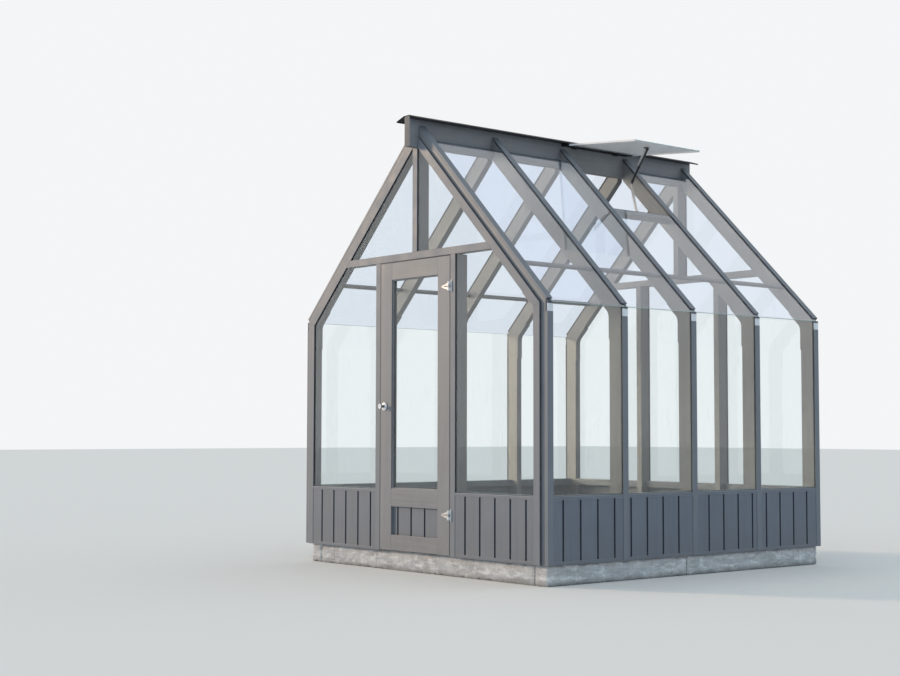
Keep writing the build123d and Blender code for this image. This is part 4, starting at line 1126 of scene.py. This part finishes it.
def door_seals():
    """Rubber strips in the gap at the leaf's free edge and over its top, with their outer edges rounded."""
    low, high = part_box("door_stiles")
    face, back, top = FRONT - SEAL_PROUD, FRONT + SEAL_DEPTH, high.z + SEAL_RISE
    strips = (("side_seal", (-POST_INNER + SEAL_GAP, face, low.z), (low.x + SEAL_LAP, back, top)),
              ("top_seal", (low.x, face, high.z - SEAL_LAP), (high.x - SEAL_END, back, top)))
    seals = []
    for name, start, end in strips:
        strip = add_block(name, start, end)
        edit(strip)
        pick_edges(strip, lambda a, b: a.y < FRONT and b.y < FRONT)
        bpy.ops.mesh.bevel(offset=SEAL_ROUNDING, segments=2, affect="EDGES")
        done()
        seals.append(strip)
    seal = joined("door_seals", seals)
    smooth(seal, 40.0)
    dress(seal, "rubber", "door", "gasket_rubber")


def door_knobs():
    """A turned knob and its rose on each face of the free stile, white as a painted reflection of the sky,
    with the neck and rims dark as painted shade.
    """
    x, z = KNOB_PLACE
    placings = (pointing((x, FRONT, z), (0, -1, 0)), pointing((x, DOOR_BACK, z), (0, 1, 0)))
    knobs = set_out(lathe("knob", KNOB_PROFILE, 48), "turned_knobs", placings)
    roses = set_out(lathe("rose", ROSE_PROFILE, 48), "knob_roses", placings)
    for piece, finish in ((knobs, "white_plastic"), (roses, "white_metal")):
        smooth(piece, 38.0)
        wear(piece, finish, "dark_steel")
        finish_faces(piece, 1, lambda middle, normal: abs(normal.y) < 0.35
                     or math.hypot(middle.x - x, middle.z - z) < KNOB_NECK and abs(normal.y) < FACING)
    fit(knobs, "door", "bright_metal", "door_knobs")
    fit(roses, "door", "bright_metal")


def screw_pattern():
    """A countersunk screw head with its drive recess, facing Z."""
    screw = lathe("screw", SCREW_PROFILE, 16)
    edit(screw)
    pick_faces(screw, lambda middle, normal: normal.z > FACING)
    bpy.ops.mesh.inset(thickness=SCREW_RADIUS * SCREW_RIM, depth=0.0)
    extrude(0, 0, -SCREW_RECESS)
    done()
    return screw


def hinges():
    """Straps, plates, screws and the pins' heads."""
    straps = copied("hinge_straps_filed", "hinge_straps")
    plates = copied("hinge_plates_filed", "hinge_plates")
    x, y = HINGE_LINE
    strap_screws, plate_screws, heads = [], [], []
    for z in HINGE_HEIGHTS:
        edit(straps)
        pick(straps, "VERT", lambda point: point.co.x < x - STRAP_NECK and abs(point.co.z - z) < HINGE_HALF)
        bpy.ops.transform.resize(value=(1.0, 1.0, STRAP_SLIMMING), center_override=(x, y, z))
        done()
        for placings, places in ((strap_screws, STRAP_SCREWS), (plate_screws, PLATE_SCREWS)):
            placings += [pointing((x + dx, HINGE_FACE, z + dz), (0, -1, 0)) for dx, dz in places]
        heads.append(pointing((x, y, z + HINGE_HALF - PIN_SUNK), (0, 0, 1)))
        heads.append(pointing((x, y, z - HINGE_HALF + PIN_SUNK), (0, 0, -1)))
    for piece, finish, body, node in ((straps, "bright_metal", "door", "hinge_straps"),
                                      (plates, "zinc_plate", "house", "hinge_plates")):
        wear(piece, finish)
        soften(piece, HINGE_EDGE, 1)
        fit(piece, body, "bright_metal", node)
    for name, body, placings in (("strap_screws", "door", strap_screws),
                                 ("plate_screws", "house", plate_screws)):
        dress(set_out(screw_pattern(), name, placings), "bright_metal", body, "bright_metal")
    pins = set_out(lathe("pin_head", PIN_PROFILE, 20), "hinge_pin_heads", heads)
    smooth(pins, 50.0)
    dress(pins, "bright_metal", "house", "bright_metal")


glazing_bead("front_bead", DOOR_GLASS_FACE - BEAD_GAP, -1)
glazing_bead("rear_bead", DOOR_GLASS_BACK + BEAD_GAP, 1)
door_seals()
door_knobs()
hinges()


# Roof vent: channels, hinge rail, opener and arm

def above_vent(place_in):
    """How far a point lies above the open vent's middle plane."""
    x, z = VENT_HINGE
    return (place_in.x - x) * math.sin(VENT_DIP) + (place_in.z - z) * math.cos(VENT_DIP)


def vent_metal():
    """White channels along the pane, painted dark as shade under the ridge cap by the hinge, and the dark
    hinge rail.
    """
    channels = copied("vent_channels", "vent_trim")
    edit(channels)
    bpy.ops.mesh.bisect(plane_co=(CHANNEL_SHADE_END, 0, 0), plane_no=(1, 0, 0))
    pick_faces(channels, lambda middle, normal: normal.z < -FACING and middle.x > CHANNEL_SHADE_END
               and above_vent(middle) < -CHANNEL_REACH)
    bpy.ops.transform.translate(value=(0, 0, -CHANNEL_FLANGE))
    done()
    wear(channels, "white_metal", "anthracite")
    # The channels under the ridge cap take anthracite as painted shade
    finish_faces(channels, 1, lambda middle, normal: middle.x < CHANNEL_SHADE_END)
    soften(channels, VENT_EDGE)
    fit(channels, "house", "white_metal", "vent_trim")
    rail = copied("vent_hinge_rail", "vent_hinge")
    wear(rail, "black_metal")
    soften(rail, VENT_EDGE)
    fit(rail, "house", "white_metal", "vent_hinge")


def on_opener(share):
    """A point on the opener's middle line, from its elbow at 0 to its head at 1."""
    (x0, z0), (x1, z1) = OPENER_ELBOW, OPENER_HEAD
    return Vector((x0 + (x1 - x0) * share, VENT_MIDDLE, z0 + (z1 - z0) * share))


def opener():
    """Black tube with end caps, eyes, bridges and the pad on the pane, and the bright rod beside it."""
    elbow, shoulder, head = on_opener(0.0), on_opener(BRIDGE_SHARE), on_opener(1.0)
    length = (head - elbow).length
    direction = (head - elbow).normalized()
    tube = lathe("opener_tube", (
        (0.0050, 0.006), (0.0066, 0.007), (0.0080, 0.010), (0.0080, 0.026), (0.0075, 0.028), (0.0075, 0.110),
        (0.0082, 0.112), (0.0082, 0.118), (0.0075, 0.120), (0.0075, length - 0.030), (0.0080, length - 0.028),
        (0.0080, length - 0.010), (0.0066, length - 0.007), (0.0050, length - 0.006)), 24)
    place(tube, pointing(elbow, direction))
    eyes = set_out(lathe("eye", EYE_PROFILE, 24), "opener_eyes",
                   (pointing(elbow, (0, -1, 0)), pointing(head, (0, -1, 0))))
    bridges = set_out(lathe("bridge", BRIDGE_PROFILE, 20), "opener_bridges",
                      (pointing(shoulder, (0, -1, 0)), pointing(head, (0, -1, 0))))
    pad = copied("opener_pad", "vent_opener")
    edit(pad)
    bpy.ops.mesh.bisect(plane_co=(0, 0, head.z + OPENER_PAD_RISE), plane_no=(0, 0, 1), clear_inner=True,
                        use_fill=True)
    done()
    black = joined("opener_body", [pad, bridges, eyes, tube])
    smooth(black, 42.0)
    dress(black, "black_metal", "house", "black_metal", "vent_opener")
    reach = (head - shoulder).length
    rod = lathe("opener_rod", (
        (0.0030, -0.012), (0.0062, -0.010), (0.0065, -0.008), (0.0065, reach - 0.012),
        (0.0056, reach - 0.010), (0.0056, reach - 0.004), (0.0030, reach - 0.002)), 24)
    place(rod, pointing(shoulder - Vector((0, ROD_ASIDE, 0)), direction))
    smooth(rod, 42.0)
    dress(rod, "bright_metal", "house", "bright_metal")


def arm():
    """The flat arm with its edges eased, and the domed heads of its pins."""
    bar = copied("opener_arm", "vent_arm")
    soften(bar, ARM_EDGE, 1)
    dress(bar, "bright_metal", "house", "bright_metal", "vent_arm")
    domes = set_out(lathe("dome", DOME_PROFILE, 20), "arm_pin_heads", [
        pointing((x, y, z), (0, outward, 0)) for (x, z), y, outward in (
            (OPENER_ELBOW, ARM_NEAR_FACE, -1), (OPENER_ELBOW, ARM_FAR_FACE, 1),
            (OPENER_FOOT, ARM_FOOT_FACE, -1))])
    smooth(domes, 50.0)
    dress(domes, "bright_metal", "house", "bright_metal")


vent_metal()
opener()
arm()


# Floor, backdrop, light and camera

def seen_rays(tree):
    """1 for what the camera sees, straight, in metal or through glass, and 0 for what only lights."""
    light = tree.nodes.new("ShaderNodeLightPath")
    seen = maths(tree, "MAXIMUM", light.outputs["Is Camera Ray"], light.outputs["Is Glossy Ray"])
    return maths(tree, "MAXIMUM", seen, light.outputs["Is Transmission Ray"])


def stage_floor():
    """A pale floor that keeps the shadow."""
    bpy.ops.object.select_all(action="DESELECT")
    bpy.ops.mesh.primitive_plane_add(size=FLOOR_SIZE, location=(0.0, 0.0, 0.0))
    floor = bpy.context.active_object
    floor.name = "floor"
    material = bpy.data.materials.new("floor_finish")
    material.use_nodes = True
    tree = material.node_tree
    shader = tree.nodes["Principled BSDF"]
    tree.links.new(mixed(tree, seen_rays(tree), FLOOR_COLOUR, FLOOR_SEEN), shader.inputs["Base Color"])
    shader.inputs["Roughness"].default_value = 0.95
    shader.inputs["Specular IOR Level"].default_value = 0.0
    floor.data.materials.append(material)


def stage_world():
    """A plain sky for light. The camera, metal and glass see a pale backdrop."""
    world = bpy.data.worlds.new("surroundings")
    bpy.context.scene.world = world
    world.use_nodes = True
    tree = world.node_tree
    tree.nodes.clear()
    sky = tree.nodes.new("ShaderNodeBackground")
    sky.inputs["Color"].default_value = colour4(SKY_COLOUR)
    sky.inputs["Strength"].default_value = SKY_STRENGTH
    pale = tree.nodes.new("ShaderNodeBackground")
    pale.inputs["Color"].default_value = colour4(PALE)
    pale.inputs["Strength"].default_value = 1.0
    blend = tree.nodes.new("ShaderNodeMixShader")
    tree.links.new(seen_rays(tree), blend.inputs[0])
    tree.links.new(sky.outputs[0], blend.inputs[1])
    tree.links.new(pale.outputs[0], blend.inputs[2])
    leave = tree.nodes.new("ShaderNodeOutputWorld")
    tree.links.new(blend.outputs[0], leave.inputs["Surface"])


def stage_sun():
    """One soft key light from the front left, low and warm."""
    lamp = bpy.data.lights.new("key_light", "SUN")
    lamp.energy = SUN_STRENGTH
    lamp.angle = SUN_ANGLE
    lamp.color = SUN_COLOUR
    holder = bpy.data.objects.new("key_light", lamp)
    bpy.context.scene.collection.objects.link(holder)
    holder.rotation_euler = Vector(SUN_FROM).to_track_quat("Z", "Y").to_euler()


def stage_camera():
    """The camera where the photograph was taken from."""
    az, pitch, roll = CAMERA_AZIMUTH, CAMERA_PITCH, CAMERA_ROLL
    ahead = Vector((-math.sin(az) * math.cos(pitch), math.cos(az) * math.cos(pitch), math.sin(pitch)))
    level = Vector((math.cos(az), math.sin(az), 0.0))
    above = level.cross(ahead)
    right = level * math.cos(roll) + above * math.sin(roll)
    up = right.cross(ahead)
    turn = Matrix((right, up, -ahead)).transposed().to_4x4()
    camera = bpy.data.cameras.new("photo_camera")
    camera.sensor_fit = "HORIZONTAL"
    camera.sensor_width = FILM_WIDTH
    camera.lens = LENS
    camera.clip_end = SEES_TO
    holder = bpy.data.objects.new("photo_camera", camera)
    bpy.context.scene.collection.objects.link(holder)
    holder.matrix_world = Matrix.Translation(CAMERA_PLACE) @ turn
    bpy.context.scene.camera = holder


stage_floor()
stage_world()
stage_sun()
stage_camera()
bpy.context.scene.view_settings.view_transform = "Standard"
